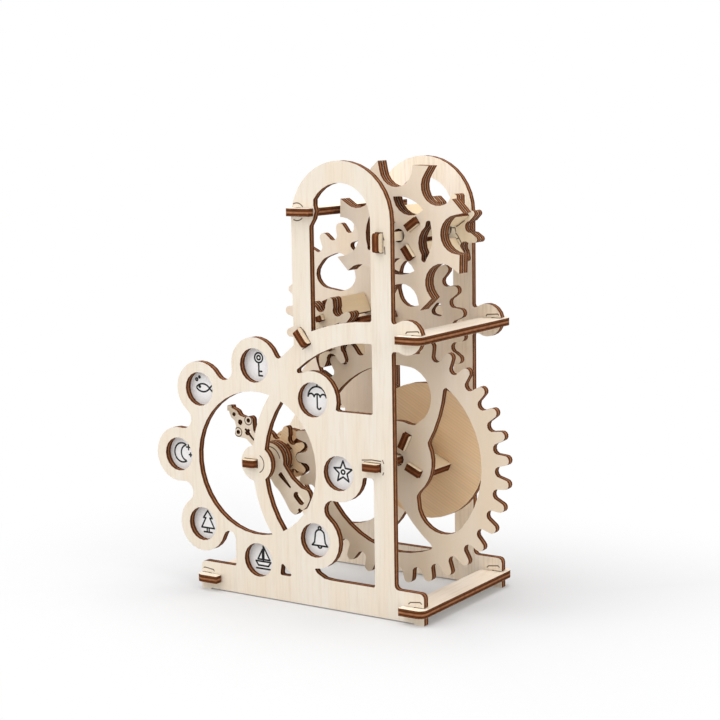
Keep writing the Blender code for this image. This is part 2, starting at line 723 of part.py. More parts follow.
def rotor_outlines():
    """Eight arms with round bites between them, and the cut-outs of the face."""
    edge = []
    for index in range(ROTOR_ARM_COUNT):
        arm = ROTOR_ARM_TURN + 360.0 * index / ROTOR_ARM_COUNT
        edge.append(polar(ARM_LEADING_CORNER[0], arm + ARM_LEADING_CORNER[1]))
        edge.append(polar(ARM_TRAILING_CORNER[0], arm + ARM_TRAILING_CORNER[1]))
        bite = arm + 180.0 / ROTOR_ARM_COUNT
        edge += arc(polar(BITE_CIRCLE, bite), BITE_RADIUS, bite - BITE_SWEEP,
                    bite - 360.0 + BITE_SWEEP)
    rim = arc((0.0, 0.0), SLOT_OUTER, CRESCENT_POINT, CRESCENT_BLUNT)
    chord = arc_through(polar(SLOT_OUTER - 1.2, CRESCENT_BLUNT), polar(SLOT_INNER, CRESCENT_DEEPEST),
                        polar(SLOT_OUTER, CRESCENT_POINT))
    crescent = rounded([*rim, *chord[:-1]])
    mirror = turned([(x, -z) for x, z in turned(crescent, -CRESCENT_MIRROR)], CRESCENT_MIRROR)
    cuts = [crescent, mirror]
    for turn in (0.0, 180.0):
        rim = arc((0.0, 0.0), SLOT_OUTER, turn + CLIP_LOW + 6.0, turn + CLIP_HIGH - 6.0)
        middle = (CLIP_LOW + CLIP_HIGH) / 2
        chord = arc_through(polar(SLOT_OUTER - 2.6, turn + CLIP_HIGH - 7.0),
                            polar(SLOT_INNER, turn + middle),
                            polar(SLOT_OUTER - 2.6, turn + CLIP_LOW + 7.0))
        cuts.append(rounded([
            *rim, (*polar(SLOT_OUTER + 0.7, turn + CLIP_HIGH), 0.8),
            (*polar(SLOT_OUTER - 1.4, turn + CLIP_HIGH + 0.6), 0.6), *chord,
            (*polar(SLOT_OUTER - 1.4, turn + CLIP_LOW - 0.6), 0.6),
            (*polar(SLOT_OUTER + 0.7, turn + CLIP_LOW), 0.8),
        ]))
    return [edge, hub_bore(), *cuts, *blade_slots(ROTOR_BLADE_OUTER, ROTOR_BLADE_TURN)]


def big_gear_outlines():
    """Large drive wheel with three long curved openings."""
    spokes = []
    for index in range(3):
        turn = 120.0 * index
        outer = arc((0.0, 0.0), 36.2, turn + 54.0, turn - 40.0)
        nose = arc_through(polar(36.0, turn - 43.0), polar(31.0, turn - 58.0),
                           polar(20.5, turn - 65.0))
        inner = arc((0.0, 0.0), 14.8, turn - 50.0, turn + 26.0)
        sweep = arc_through(polar(15.2, turn + 30.0), polar(26.0, turn + 46.0),
                            polar(34.6, turn + 54.5))
        spokes.append(rounded([
            (*outer[0], 0.8), *outer[1:], *nose, (*polar(15.6, turn - 59.0), 2.0),
            *inner, *sweep[:-1], (*sweep[-1], 0.6),
        ]))
    edge = wheel_outline(BIG_GEAR_TEETH, MODULE, WHEEL_TOOTH_ABOVE, BIG_GEAR_PHASE)
    return [edge, hub_bore(), *spokes, *blade_slots(BLADE_WIDE, DRIVE_BLADE_TURN)]


def middle_gear_outlines():
    """Middle wheel with four round openings and four small ones between them."""
    holes = []
    for index in range(4):
        turn = 90.0 * index - MIDDLE_OPENING_TURN
        large = [(34.0, 150.0), (34.0, 135.0), (32.0, 121.0), (26.0, 113.5), (18.5, 115.0),
                 (17.0, 130.0), (19.0, 143.0), (27.0, 153.0)]
        holes.append(rounded([(*polar(reach, angle - turn), 5.0) for reach, angle in large]))
        small = [(33.6, 113.0), (33.6, 100.0), (27.0, 104.5)]
        holes.append(rounded([(*polar(reach, angle - turn), 1.4) for reach, angle in small]))
    edge = wheel_outline(MIDDLE_GEAR_TEETH, REAR_MODULE, REAR_WHEEL_TOOTH_ABOVE, MIDDLE_GEAR_PHASE)
    return [edge, hub_bore(), *holes, *blade_slots(BLADE_WIDE, MIDDLE_BLADE_TURN)]


def pointer_outlines():
    """Pointer along +X with a lobed head, a broad lopsided tail and its cut-outs."""
    head = [(12.9, 2.5, 2.0), (15.0, 4.2, 1.5), (16.4, 5.6, 1.2), (18.0, 5.4, 1.2),
            (19.6, 2.8, 0.8), (21.7, 1.6, 1.0), (23.6, 2.0, 0.9), (25.0, 1.5, 0.6),
            (26.2, 0.9, 0.4), (26.8, 1.6, 0.3), (28.2, 0.0)]
    head_under = [(point[0], -point[1], *point[2:]) for point in head[:-1]]
    neck = degrees(asin(POINTER_NECK / POINTER_HUB))
    hub_top = arc((0.0, 0.0), POINTER_HUB, neck, 137.0)
    hub_bottom = arc((0.0, 0.0), POINTER_HUB, 213.0, 360.0 - neck)
    tail = [(-8.6, 5.4, 3.0), (-12.0, 5.2, 4.0), (-15.6, 5.8, 4.0), (-20.8, 7.0, 2.0),
            (-23.4, 6.2, 0.8), (-23.4, 3.9), (-22.5, 3.6, 0.4), (-22.6, 2.6, 0.4), (-24.2, 2.2, 0.6),
            (-24.5, -0.4, 1.5), (-23.3, -4.2, 2.0), (-20.3, -5.4, 1.5), (-17.6, -3.7, 2.0),
            (-12.0, -2.9, 4.0)]
    edge = rounded([*reversed(head), *hub_top, *tail, *hub_bottom, *head_under])
    key = [(9.4, 0.35), (12.9, 0.5), (13.8, 1.4, 0.4), (14.9, 1.4, 0.4), (15.1, 0.5), (16.0, 0.5)]
    slot = rounded([*key, *[(point[0], -point[1], *point[2:]) for point in reversed(key)]])
    holes = [circle((17.3, 3.6), 0.95), circle((17.3, -3.6), 0.95), circle((19.4, 0.0), 1.15),
             circle((23.6, 0.0), 0.9)]
    tail_slot = rounded([(-7.0, 1.1, 0.4), (-14.4, 0.4, 0.2), (-14.4, -0.4, 0.2), (-7.0, -1.1, 0.4)])
    oval = arc((-18.3, 0.0), 1.5, -90.0, 90.0) + arc((-21.3, 0.0), 1.5, 90.0, 270.0)
    return [edge, hub_bore(), slot, *holes, tail_slot, oval]


def blade_outline(steps):
    """Side view of a blade from its inner edge to a stepped outer edge.

    Each step holds the depth where it ends and the outer radius up to there.
    """
    start = steps[0][0]
    points = [(BLADE_INNER, start)]
    depth = start
    for end, outer in steps[1:]:
        points += [(outer, depth), (outer, end)]
        depth = end
    points.append((BLADE_INNER, depth))
    return points


def add_blades(collection, name, steps, material, parent, turn):
    """The four blades of one body, all cut to the same outline."""
    mesh = outline_mesh(name, [blade_outline(steps)], SHEET)
    for index in range(BLADE_COUNT):
        angle = turn + 360.0 * index / BLADE_COUNT
        add_piece(collection, f"{name}_{index + 1}", mesh, material, parent,
                  (0.0, 0.0, 0.0), (0.0, -angle, 0.0))


def sheet_faces(first, count):
    """Depths of the front faces of sheets laid on one another."""
    return [first + index * (SHEET + LAYER_GAP) for index in range(count)]


def build_frame(collection, body, finishes):
    """Plates, cross plates, picture discs and the fixed axle strips."""
    pale, print_white = finishes["pale"], finishes["print"]
    add_sheet(collection, "front_plate", front_plate_outlines(), pale, body, FRONT_PLATE_FACE)
    add_sheet(collection, "rear_plate", rear_plate_outlines(), pale, body, REAR_PLATE_FACE)
    crosses = (("cross_plate_top", TOP_CROSS), ("cross_plate_middle", MIDDLE_CROSS),
               ("cross_plate_base_left", LEFT_BASE_CROSS),
               ("cross_plate_base_right", RIGHT_BASE_CROSS))
    for name, cross in crosses:
        mesh = outline_mesh(name, cross_outline(cross), SHEET)
        add_piece(collection, name, mesh, pale, body, (0.0, 0.0, cross[2]))
    disc = outline_mesh("picture_disc", [circle((0.0, 0.0), PICTURE_RADIUS)], DISC_SHEET)
    depth = FRONT_PLATE_FACE + SHEET + LAYER_GAP + DISC_SHEET / 2
    for index in range(WINDOW_COUNT):
        x, z = lobe_centre(index)
        add_piece(collection, f"picture_disc_{index + 1}", disc, print_white, body,
                  (x, depth, z), (90.0, 0.0, 0.0))
    for name, place, angle, head in AXLES:
        mesh = outline_mesh(name, [strip_outline(head)], SHEET)
        add_piece(collection, name, mesh, pale, body, (place[0], 0.0, place[1]),
                  (0.0, -angle, 0.0))


def build_rotor(collection, body, finishes, star_phase):
    """Arms that are turned by hand, joined by blades to the star wheel behind."""
    for index, face in enumerate(sheet_faces(ROTOR_FACE, ROTOR_SHEET_COUNT)):
        add_sheet(collection, f"rotor_sheet_{index + 1}", rotor_outlines(), finishes["warm"],
                  body, face)
    star = gear_outline(STAR_TEETH, REAR_MODULE, STAR_TOOTH_ABOVE, STAR_TIP_ROUND,
                        PINION_VALLEY_ROUND, star_phase)
    star_cut = [star, hub_bore(), *blade_slots(STAR_BLADE_OUTER, ROTOR_BLADE_TURN)]
    for index, face in enumerate(sheet_faces(STAR_FACE, 2)):
        add_sheet(collection, f"star_sheet_{index + 1}", star_cut, finishes["grey"], body, face)
    rotor_back = sheet_faces(ROTOR_FACE, ROTOR_SHEET_COUNT)[-1] + SHEET
    star_back = sheet_faces(STAR_FACE, 2)[-1] + SHEET
    steps = [(ROTOR_FACE - BLADE_TAB, 0.0), (rotor_back + LAYER_GAP, ROTOR_BLADE_OUTER),
             (STAR_FACE - LAYER_GAP, ROTOR_BLADE_OUTER + BLADE_SHOULDER),
             (star_back + BLADE_TAB, STAR_BLADE_OUTER)]
    add_blades(collection, "rotor_blade", steps, finishes["tan"], body, ROTOR_BLADE_TURN)


def build_middle(collection, body, finishes, pinion_phase):
    """Middle wheel behind, joined by blades to its small wheel in front."""
    add_sheet(collection, "middle_gear", middle_gear_outlines(), finishes["grey"], body,
              MIDDLE_GEAR_FACE)
    pinion_cut = [pinion_outline(MIDDLE_PINION_TEETH, pinion_phase), hub_bore(),
                  *blade_slots(MIDDLE_PINION_BLADE_OUTER, MIDDLE_BLADE_TURN)]
    for index, face in enumerate(sheet_faces(MIDDLE_PINION_FACE, 2)):
        add_sheet(collection, f"middle_pinion_{index + 1}", pinion_cut, finishes["warm"], body, face)
    pinion_back = sheet_faces(MIDDLE_PINION_FACE, 2)[-1] + SHEET
    steps = [(MIDDLE_PINION_FACE - BLADE_TAB, 0.0),
             (pinion_back + LAYER_GAP, MIDDLE_PINION_BLADE_OUTER),
             (MIDDLE_GEAR_FACE - LAYER_GAP, BLADE_WIDE + BLADE_SHOULDER),
             (MIDDLE_GEAR_FACE + SHEET + BLADE_TAB, BLADE_WIDE)]
    add_blades(collection, "middle_blade", steps, finishes["tan"], body, MIDDLE_BLADE_TURN)


def build_drive(collection, body, finishes):
    """Large drive wheel joined by blades to the plain disc behind it."""
    add_sheet(collection, "big_gear", big_gear_outlines(), finishes["pale"], body, BIG_GEAR_FACE)
    disc_cut = [circle((0.0, 0.0), PLAIN_DISC_RADIUS), hub_bore(),
                *blade_slots(BLADE_WIDE, DRIVE_BLADE_TURN)]
    add_sheet(collection, "plain_disc", disc_cut, finishes["tan"], body, PLAIN_DISC_FACE)
    steps = [(BIG_GEAR_FACE - BLADE_TAB, 0.0), (BIG_GEAR_FACE + SHEET + LAYER_GAP, BLADE_WIDE),
             (PLAIN_DISC_FACE - LAYER_GAP, BLADE_WIDE + BLADE_SHOULDER),
             (PLAIN_DISC_FACE + SHEET + BLADE_TAB, BLADE_WIDE)]
    add_blades(collection, "drive_blade", steps, finishes["warm"], body, DRIVE_BLADE_TURN)


def build_pointer(collection, body, finishes, pinion_phase):
    """Pointer behind the dial's plate, its hub disc, its small wheel and a flange disc."""
    front, back = sheet_faces(POINTER_FACE, 2)
    add_sheet(collection, "pointer_arm", pointer_outlines(), finishes["warm"], body, front,
              POINTER_TURN)
    hub_cut = [circle((0.0, 0.0), POINTER_HUB), hub_bore(),
               *blade_slots(POINTER_BLADE_OUTER, POINTER_BLADE_TURN)]
    add_sheet(collection, "pointer_hub_disc", hub_cut, finishes["warm"], body, back)
    pinion_cut = [pinion_outline(POINTER_PINION_TEETH, pinion_phase), hub_bore(),
                  *blade_slots(POINTER_BLADE_OUTER, POINTER_BLADE_TURN)]
    add_sheet(collection, "pointer_pinion", pinion_cut, finishes["tan"], body, POINTER_PINION_FACE)
    flange_cut = [circle((0.0, 0.0), FLANGE_RADIUS), hub_bore(),
                  *blade_slots(FLANGE_BLADE_OUTER, POINTER_BLADE_TURN)]
    add_sheet(collection, "pointer_flange", flange_cut, finishes["warm"], body, FLANGE_FACE)
    pinion_back = POINTER_PINION_FACE + SHEET
    steps = [(back, 0.0), (pinion_back + LAYER_GAP, POINTER_BLADE_OUTER),
             (FLANGE_FACE + SHEET + BLADE_TAB, FLANGE_BLADE_OUTER)]
    add_blades(collection, "pointer_blade", steps, finishes["grey"], body, POINTER_BLADE_TURN)


def stand_on_origin(root):
    """Shifts the assembly so that the middle of its underside is the origin."""
    bpy.context.view_layer.update()
    corners = [piece.matrix_world @ Vector(corner)
               for piece in bpy.data.objects if piece.type == "MESH"
               for corner in piece.bound_box]
    low = [min(corner[axis] for corner in corners) for axis in range(3)]
    high = [max(corner[axis] for corner in corners) for axis in range(3)]
    root.location = (-(low[0] + high[0]) / 2, -(low[1] + high[1]) / 2, -low[2])
    bpy.context.view_layer.update()
    print("size in mm", [round((high[axis] - low[axis]) / MM, 2) for axis in range(3)])
    print("shift in mm", [round(value / MM, 3) for value in root.location])


def main():
    """Builds the whole assembly."""
    clear_scene()
    collection = make_collection("wooden_mechanical_puzzle")
    finishes = {
        "pale": make_material("pale_birch", PALE_BIRCH, 0.62),
        "warm": make_material("warm_birch", WARM_BIRCH, 0.64),
        "tan": make_material("tan_birch", TAN_BIRCH, 0.66),
        "grey": make_material("grey_birch", GREY_BIRCH, 0.66),
        "print": make_material("printed_disc", PRINT_WHITE, 0.5),
    }
    root = add_empty(collection, "puzzle_root", (0.0, 0.0, 0.0))
    rotor = add_empty(collection, "rotor_axis", (ROTOR_AXLE[0], 0.0, ROTOR_AXLE[1]), root)
    middle = add_empty(collection, "middle_axis", (MIDDLE_AXLE[0], 0.0, MIDDLE_AXLE[1]), root)
    drive = add_empty(collection, "drive_axis", (DRIVE_AXLE[0], 0.0, DRIVE_AXLE[1]), root)
    pointer = add_empty(collection, "pointer_axis", (DIAL_AXLE[0], 0.0, DIAL_AXLE[1]), root)
    middle_pinion_phase = meshed_phase(BIG_GEAR_TEETH, BIG_GEAR_PHASE, MIDDLE_PINION_TEETH,
                                       DRIVE_TO_MIDDLE_ANGLE)
    pointer_phase = meshed_phase(BIG_GEAR_TEETH, BIG_GEAR_PHASE, POINTER_PINION_TEETH,
                                 DIAL_TO_DRIVE_ANGLE + 180.0)
    star_phase = meshed_phase(MIDDLE_GEAR_TEETH, MIDDLE_GEAR_PHASE, STAR_TEETH,
                              MIDDLE_TO_ROTOR_ANGLE)
    build_frame(collection, root, finishes)
    build_rotor(collection, rotor, finishes, star_phase)
    build_middle(collection, middle, finishes, middle_pinion_phase)
    build_drive(collection, drive, finishes)
    build_pointer(collection, pointer, finishes, pointer_phase)
    stand_on_origin(root)
    for axle in (rotor, middle, drive, pointer):
        print(axle.name, [round(value / MM, 3) for value in axle.matrix_world.translation])


main()
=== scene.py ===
"""Finishes, engraving, stage and camera of a plywood gear train between two plates."""

from __future__ import annotations

import json
import logging
import math
from dataclasses import dataclass, field
from enum import Enum
from typing import Any, Callable, Union

import bpy
from mathutils import Matrix, Vector

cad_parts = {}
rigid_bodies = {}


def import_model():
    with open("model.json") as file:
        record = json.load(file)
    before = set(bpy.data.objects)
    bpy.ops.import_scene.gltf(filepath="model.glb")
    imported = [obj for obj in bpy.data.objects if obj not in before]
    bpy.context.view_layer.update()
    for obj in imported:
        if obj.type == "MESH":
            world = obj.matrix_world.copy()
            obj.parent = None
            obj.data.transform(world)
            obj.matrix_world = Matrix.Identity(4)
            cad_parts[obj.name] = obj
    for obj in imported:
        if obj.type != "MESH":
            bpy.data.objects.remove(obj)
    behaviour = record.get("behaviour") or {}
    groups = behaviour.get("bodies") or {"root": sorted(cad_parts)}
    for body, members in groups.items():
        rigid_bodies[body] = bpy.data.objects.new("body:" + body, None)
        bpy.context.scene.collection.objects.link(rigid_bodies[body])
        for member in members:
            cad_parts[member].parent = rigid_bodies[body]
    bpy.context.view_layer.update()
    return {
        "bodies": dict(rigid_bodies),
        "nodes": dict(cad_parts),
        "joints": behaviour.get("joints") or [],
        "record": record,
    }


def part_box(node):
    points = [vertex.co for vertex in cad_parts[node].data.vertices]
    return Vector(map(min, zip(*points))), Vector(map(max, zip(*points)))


LOG = logging.getLogger("gear_train")
Triple = tuple[float, float, float]
Point = tuple[float, float]
Value = Union["Term", float]

# One millimetre in metres
MM = 0.001
# Thickness of the plywood and of the printed card in millimetres
SHEET = 3.0
CARD_SHEET = 1.0
# Depth under a face at which the look of the edge ends and that of the face starts
EDGE_ENDS = 0.05
FACE_STARTS = 0.03


class Lay(Enum):
    """How a flat piece stands: the turn that brings its plan to its place."""

    UPRIGHT = "upright"
    UPWARD = "upward"


class Motif(Enum):
    """Line drawings on the printed discs."""

    STAR = "star"
    UMBRELLA = "umbrella"
    KEY = "key"
    FISH = "fish"
    MOON = "moon"
    TREE = "tree"
    BOAT = "boat"
    BELL = "bell"


class Term:
    """A socket in a shader sum, so that shader maths reads as plain arithmetic."""

    def __init__(self, tree: "Tree", socket: bpy.types.NodeSocket) -> None:
        """Keeps the tree and the output socket."""
        self.tree = tree
        self.socket = socket

    def __add__(self, other: Value) -> "Term":
        """Sum."""
        return self.tree.math("ADD", self, other)

    __radd__ = __add__

    def __sub__(self, other: Value) -> "Term":
        """Difference."""
        return self.tree.math("SUBTRACT", self, other)

    def __rsub__(self, other: Value) -> "Term":
        """Difference from a number."""
        return self.tree.math("SUBTRACT", other, self)

    def __mul__(self, other: Value) -> "Term":
        """Product."""
        return self.tree.math("MULTIPLY", self, other)

    __rmul__ = __mul__

    def __truediv__(self, other: Value) -> "Term":
        """Quotient."""
        return self.tree.math("DIVIDE", self, other)

    def __rtruediv__(self, other: Value) -> "Term":
        """Quotient of a number."""
        return self.tree.math("DIVIDE", other, self)

    def __abs__(self) -> "Term":
        """Size without sign."""
        return self.tree.math("ABSOLUTE", self)

    def larger(self, other: Value) -> "Term":
        """The larger of two values."""
        return self.tree.math("MAXIMUM", self, other)

    def smaller(self, other: Value) -> "Term":
        """The smaller of two values."""
        return self.tree.math("MINIMUM", self, other)

    def root(self) -> "Term":
        """Square root."""
        return self.tree.math("SQRT", self)

    def above(self, level: Value) -> "Term":
        """One where the value is over a level, else nought."""
        return self.tree.math("GREATER_THAN", self, level)

    def step(self, low: float, high: float) -> "Term":
        """Rises smoothly from nought at low to one at high."""
        return self.tree.term("ShaderNodeMapRange", {"interpolation_type": "SMOOTHSTEP"}, {
            "Value": self, "From Min": low, "From Max": high, "To Min": 0.0, "To Max": 1.0})


class Tree:
    """A tree of shader nodes."""

    def __init__(self, node_tree: bpy.types.NodeTree) -> None:
        """Keeps the nodes and links of a material or world."""
        self.nodes = node_tree.nodes
        self.links = node_tree.links

    def add(self, kind: str, settings: dict[str, Any] | None = None,
            sockets: dict[Any, Any] | None = None) -> bpy.types.Node:
        """Adds a node, sets it up and fills its sockets.

        Args:
            kind: Node type.
            settings: Properties of the node, set first.
            sockets: Values or links by socket name or number.

        Returns:
            The node.
        """
        node = self.nodes.new(kind)
        for key, value in (settings or {}).items():
            setattr(node, key, value)
        for key, value in (sockets or {}).items():
            self.feed(node.inputs[key], value)
        return node

    def term(self, kind: str, settings: dict[str, Any] | None = None,
             sockets: dict[Any, Any] | None = None, output: int | str = 0) -> Term:
        """Adds a node and gives one of its outputs.

        Args:
            kind: Node type.
            settings: Properties of the node, set first.
            sockets: Values or links by socket name or number.
            output: Name or number of the output.

        Returns:
            The output.
        """
        return Term(self, self.add(kind, settings, sockets).outputs[output])

    def feed(self, socket: bpy.types.NodeSocket, value: Any) -> None:
        """Links a term or writes a plain value to a socket.

        Args:
            socket: The socket.
            value: A term, a number, or a colour without its alpha.
        """
        if isinstance(value, Term):
            self.links.new(value.socket, socket)
        elif isinstance(value, tuple) and socket.type == "RGBA":
            socket.default_value = (*value, 1.0)
        else:
            socket.default_value = value

    def math(self, operation: str, *values: Value) -> Term:
        """Adds a Math node on up to three values."""
        return self.term("ShaderNodeMath", {"operation": operation}, dict(enumerate(values)))

    def mix(self, factor: Value, first: Any, second: Any) -> Term:
        """Mixes two colours."""
        return self.term("ShaderNodeMix", {"data_type": "RGBA"},
                         {0: factor, 6: first, 7: second}, 2)

    def noise(self, vector: Term, scale: float, detail: float, rough: float) -> Term:
        """Even noise from nought to one, with its size set by the vector's unit."""
        return self.term("ShaderNodeTexNoise", {"noise_dimensions": "3D"}, {
            "Vector": vector, "Scale": scale, "Detail": detail, "Roughness": rough})

    def mapped(self, vector: Term, size: Triple = (1.0, 1.0, 1.0),
               place: Vector | Triple = (0.0, 0.0, 0.0), turn: Triple = (0.0, 0.0, 0.0)) -> Term:
        """Moves a vector into the frame of a piece or stretches it.

        Args:
            vector: Coordinates that are mapped.
            size: Length of the new unit along each axis.
            place: Origin of the new frame.
            turn: Euler angles of the new frame, in radians.

        Returns:
            The coordinates in the new frame.
        """
        return self.term("ShaderNodeMapping", {"vector_type": "TEXTURE"}, {
            "Vector": vector, "Location": tuple(place), "Rotation": turn, "Scale": size})

    def place(self) -> Term:
        """Object coordinates, in metres."""
        return self.term("ShaderNodeTexCoord", output="Object")

    def axes(self, vector: Term) -> tuple[Term, Term, Term]:
        """The three parts of a vector."""
        split = self.add("ShaderNodeSeparateXYZ", sockets={0: vector})
        x, y, z = (Term(self, output) for output in split.outputs)
        return x, y, z


@dataclass(frozen=True)
class Touch:
    """Roughness, shine and relief of a finish.

    Attributes:
        rough: Roughness of the plain surface.
        shine: Specular level.
        bump: Strength of the relief.
        depth: Depth of the relief in metres.
    """

    rough: float
    shine: float
    bump: float
    depth: float


class Surface(Tree):
    """The node tree of one material."""

    def __init__(self, name: str) -> None:
        """Makes the material and keeps its shader.

        Args:
            name: Name of the material.
        """
        self.material = bpy.data.materials.new(name)
        self.material.use_nodes = True
        super().__init__(self.material.node_tree)
        self.shader = self.nodes["Principled BSDF"]

    def cover(self, node: bpy.types.Object, touch: Touch, colour: Term, rougher: Term,
              height: Term) -> None:
        """Feeds the shader and makes this the only material of a node.

        Args:
            node: The node's object.
            touch: Plain roughness, shine and relief.
            colour: Colour of the surface.
            rougher: Roughness that is added to the plain one.
            height: Height of the relief.
        """
        inputs = self.shader.inputs
        self.feed(inputs["Base Color"], colour)
        self.feed(inputs["Roughness"], touch.rough + rougher)
        self.feed(inputs["Specular IOR Level"], touch.shine)
        self.feed(inputs["Normal"], self.term("ShaderNodeBump", sockets={
            "Strength": touch.bump, "Distance": touch.depth, "Height": height}))
        node.data.materials.clear()
        node.data.materials.append(self.material)


@dataclass(frozen=True)
class Placement:
    """Where the plan of a flat piece lies in the row frame.

    Attributes:
        place: Middle of the plan, in metres.
        lay: Whether the plan stands upright or lies flat.
        turn: Turn of the plan in degrees.
    """

    place: Vector
    lay: Lay = Lay.UPRIGHT
    turn: float = 0.0

    def angles(self) -> Triple:
        """Euler angles of the plan, in radians."""
        tilt = math.radians(90.0) if self.lay is Lay.UPRIGHT else 0.0
        return (tilt, math.radians(-self.turn), 0.0)


class Plan:
    """Coordinates of a piece's plan in millimetres, and the shapes drawn on them."""

    # Distance in millimetres that is added past the ends of an arc, where no line is drawn
    FAR: float = 50.0

    def __init__(self, tree: Tree, placement: Placement) -> None:
        """Brings the object coordinates into the plan of the piece.

        Args:
            tree: Material that the plan is drawn in.
            placement: Place and turn of the plan.
        """
        self.tree = tree
        self.vector = tree.mapped(tree.place(), (MM, MM, MM), placement.place, placement.angles())
        self.x, self.y, self.z = tree.axes(self.vector)

    def ring(self, x: float, y: float, radius: float) -> Term:
        """Distance from a circle."""
        return abs(span(self.x - x, self.y - y) - radius)

    def bow(self, x: float, y: float, radius: float, start: float, end: float) -> Term:
        """Distance from an arc, large away from its angles.

        Args:
            x: Centre to the right.
            y: Centre upward.
            radius: Radius of the arc.
            start: First angle in degrees.
            end: Last angle, anticlockwise from the first.

        Returns:
            The distance.
        """
        middle = math.radians((start + end) / 2)
        spread = math.cos(math.radians((end - start) / 2))
        dx, dy = self.x - x, self.y - y
        reach = span(dx, dy)
        along = dx * math.cos(middle) + dy * math.sin(middle)
        outside = (reach * spread - along).above(0.0) * self.FAR
        return abs(reach - radius) + outside

    def line(self, x0: float, y0: float, x1: float, y1: float) -> Term:
        """Distance from a straight stroke between two points.

        Args:
            x0: First point to the right.
            y0: First point upward.
            x1: Last point to the right.
            y1: Last point upward.

        Returns:
            The distance.
        """
        dx, dy = x1 - x0, y1 - y0
        px, py = self.x - x0, self.y - y0
        share = self.tree.term("ShaderNodeMath", {"operation": "DIVIDE", "use_clamp": True},
                               {0: px * dx + py * dy, 1: dx * dx + dy * dy})
        return span(px - share * dx, py - share * dy)

    def path(self, points: list[Point], closed: bool = False) -> list[Term]:
        """Distances from the strokes of a drawn path."""
        ends = points[1:] + points[:1] if closed else points[1:]
        return [self.line(*first, *second) for first, second in zip(points, ends)]

    def paths(self, paths: tuple[list[Point], ...]) -> list[Term]:
        """Distances from the strokes of several open paths."""
        return [stroke for points in paths for stroke in self.path(points)]

    def inked(self, strokes: list[Term], width: float, soft: float) -> Term:
        """Mask of strokes of a width.

        Args:
            strokes: Distances from the strokes.
            width: Width of a stroke.
            soft: Width of its soft edge.

        Returns:
            One on the strokes and nought elsewhere.
        """
        nearest = strokes[0]
        for stroke in strokes[1:]:
            nearest = nearest.smaller(stroke)
        return 1.0 - nearest.step(width / 2 - soft / 2, width / 2 + soft / 2)


def span(dx: Term, dy: Term) -> Term:
    """Length of a step across and upward."""
    return (dx * dx + dy * dy).root()


Drawing = Callable[[Plan], list[Term]]


@dataclass(frozen=True)
class Pattern:
    """A noise pattern on the plan of a piece.

    Attributes:
        unit: Size of its unit in millimetres, along the plan's axes.
        scale: Its features per unit.
        detail: Its finer layers.
        rough: Strength of the finer layers.
        shift: How far it moves on from one piece to the next, in millimetres.
    """

    unit: Triple
    scale: float
    detail: float
    rough: float
    shift: Triple = (0.0, 0.0, 0.0)

    def drawn(self, tree: Tree, vector: Term, seed: int = 0,
              turn: Triple = (0.0, 0.0, 0.0)) -> Term:
        """Draws the pattern in a material.

        Args:
            tree: The material.
            vector: Coordinates of the plan, in millimetres.
            seed: Number of the piece.
            turn: Euler angles of the pattern, in radians.

        Returns:
            Its value from nought to one.
        """
        place = tuple(seed * step for step in self.shift)
        return tree.noise(tree.mapped(vector, self.unit, place, turn), self.scale, self.detail,
                          self.rough)


GRAIN_SHIFT = (37.3, 61.7, 11.9)
SCORCH_SHIFT = (17.1, 5.3, 0.0)
WISPS = Pattern((1.0, 16.0, 1.0), 0.9, 4.0, 0.62, GRAIN_SHIFT)
FIELDS = Pattern((9.0, 70.0, 9.0), 1.0, 2.0, 0.5, GRAIN_SHIFT)
FIBRES = Pattern((0.28, 4.5, 1.0), 1.0, 2.0, 0.6, GRAIN_SHIFT)
ROW_WAVER = Pattern((6.0, 30.0, 6.0), 1.0, 2.0, 0.5)
DRIFT = Pattern((1.0, 1.0, 4.0), 0.35, 3.0, 0.6, SCORCH_SHIFT)
SCORCH = Pattern((2.2, 2.2, 1.3), 1.0, 3.0, 0.6, SCORCH_SHIFT)
CARD_FIBRES = Pattern((1.0, 1.0, 1.0), 3.0, 3.0, 0.6)

# Values of a pattern between which its mark fades in
WISP_LEVELS = (0.42, 0.78)
FIELD_LEVELS = (0.25, 0.75)
PORE_LEVELS = (0.66, 0.8)
ROW_LEVELS = (0.35, 0.9)
SCORCH_LEVELS = (0.35, 0.75)
CARD_LEVELS = (0.3, 0.7)

# Fine lines on a face: how far they waver in millimetres, and their phase per millimetre
ROW_WAVE = 1.2
ROW_RATE = 5.6
# How far the layers of an edge drift, as a share of the thickness
LAYER_DRIFT = 0.05
# Colour of the warmer fields of a face, as shares of the face's colour
WARM_SHARES = (0.985, 0.94, 0.87)
# Width of a drawn line and of its soft edge, in millimetres; the lines are engraving, and on the
# front plate also painted shade along a slot
ENGRAVED_AND_SHADE_WIDTH = 0.42
ENGRAVED_AND_SHADE_SOFT = 0.16


@dataclass(frozen=True)
class Layer:
    """A layer in a cut edge, on a scale from nought at the back to one at the front.

    Attributes:
        level: Middle of the layer.
        full: Distance from the middle where it starts to fade.
        gone: Distance from the middle where it has faded.
    """

    level: float
    full: float
    gone: float

    def mask(self, level: Term) -> Term:
        """One in the layer and nought away from it."""
        return 1.0 - abs(level - self.level).step(self.full, self.gone)


CORE_PLY = Layer(0.45, 0.09, 0.17)
PALE_SEAM = Layer(0.50, 0.02, 0.07)
BACK_GLUE = Layer(0.25, 0.03, 0.10)
FRONT_GLUE = Layer(0.72, 0.02, 0.08)
# Levels between which the dark rims of an edge fade in at the front and out at the back
FRONT_RIM = (0.88, 0.97)
BACK_RIM = (0.03, 0.10)


@dataclass(frozen=True)
class Effect:
    """What a mark does to the surface under it.

    Attributes:
        cover: Share of its colour.
        rougher: Roughness that it adds.
        height: Height that it adds to the relief.
    """

    cover: float = 0.0
    rougher: float = 0.0
    height: float = 0.0


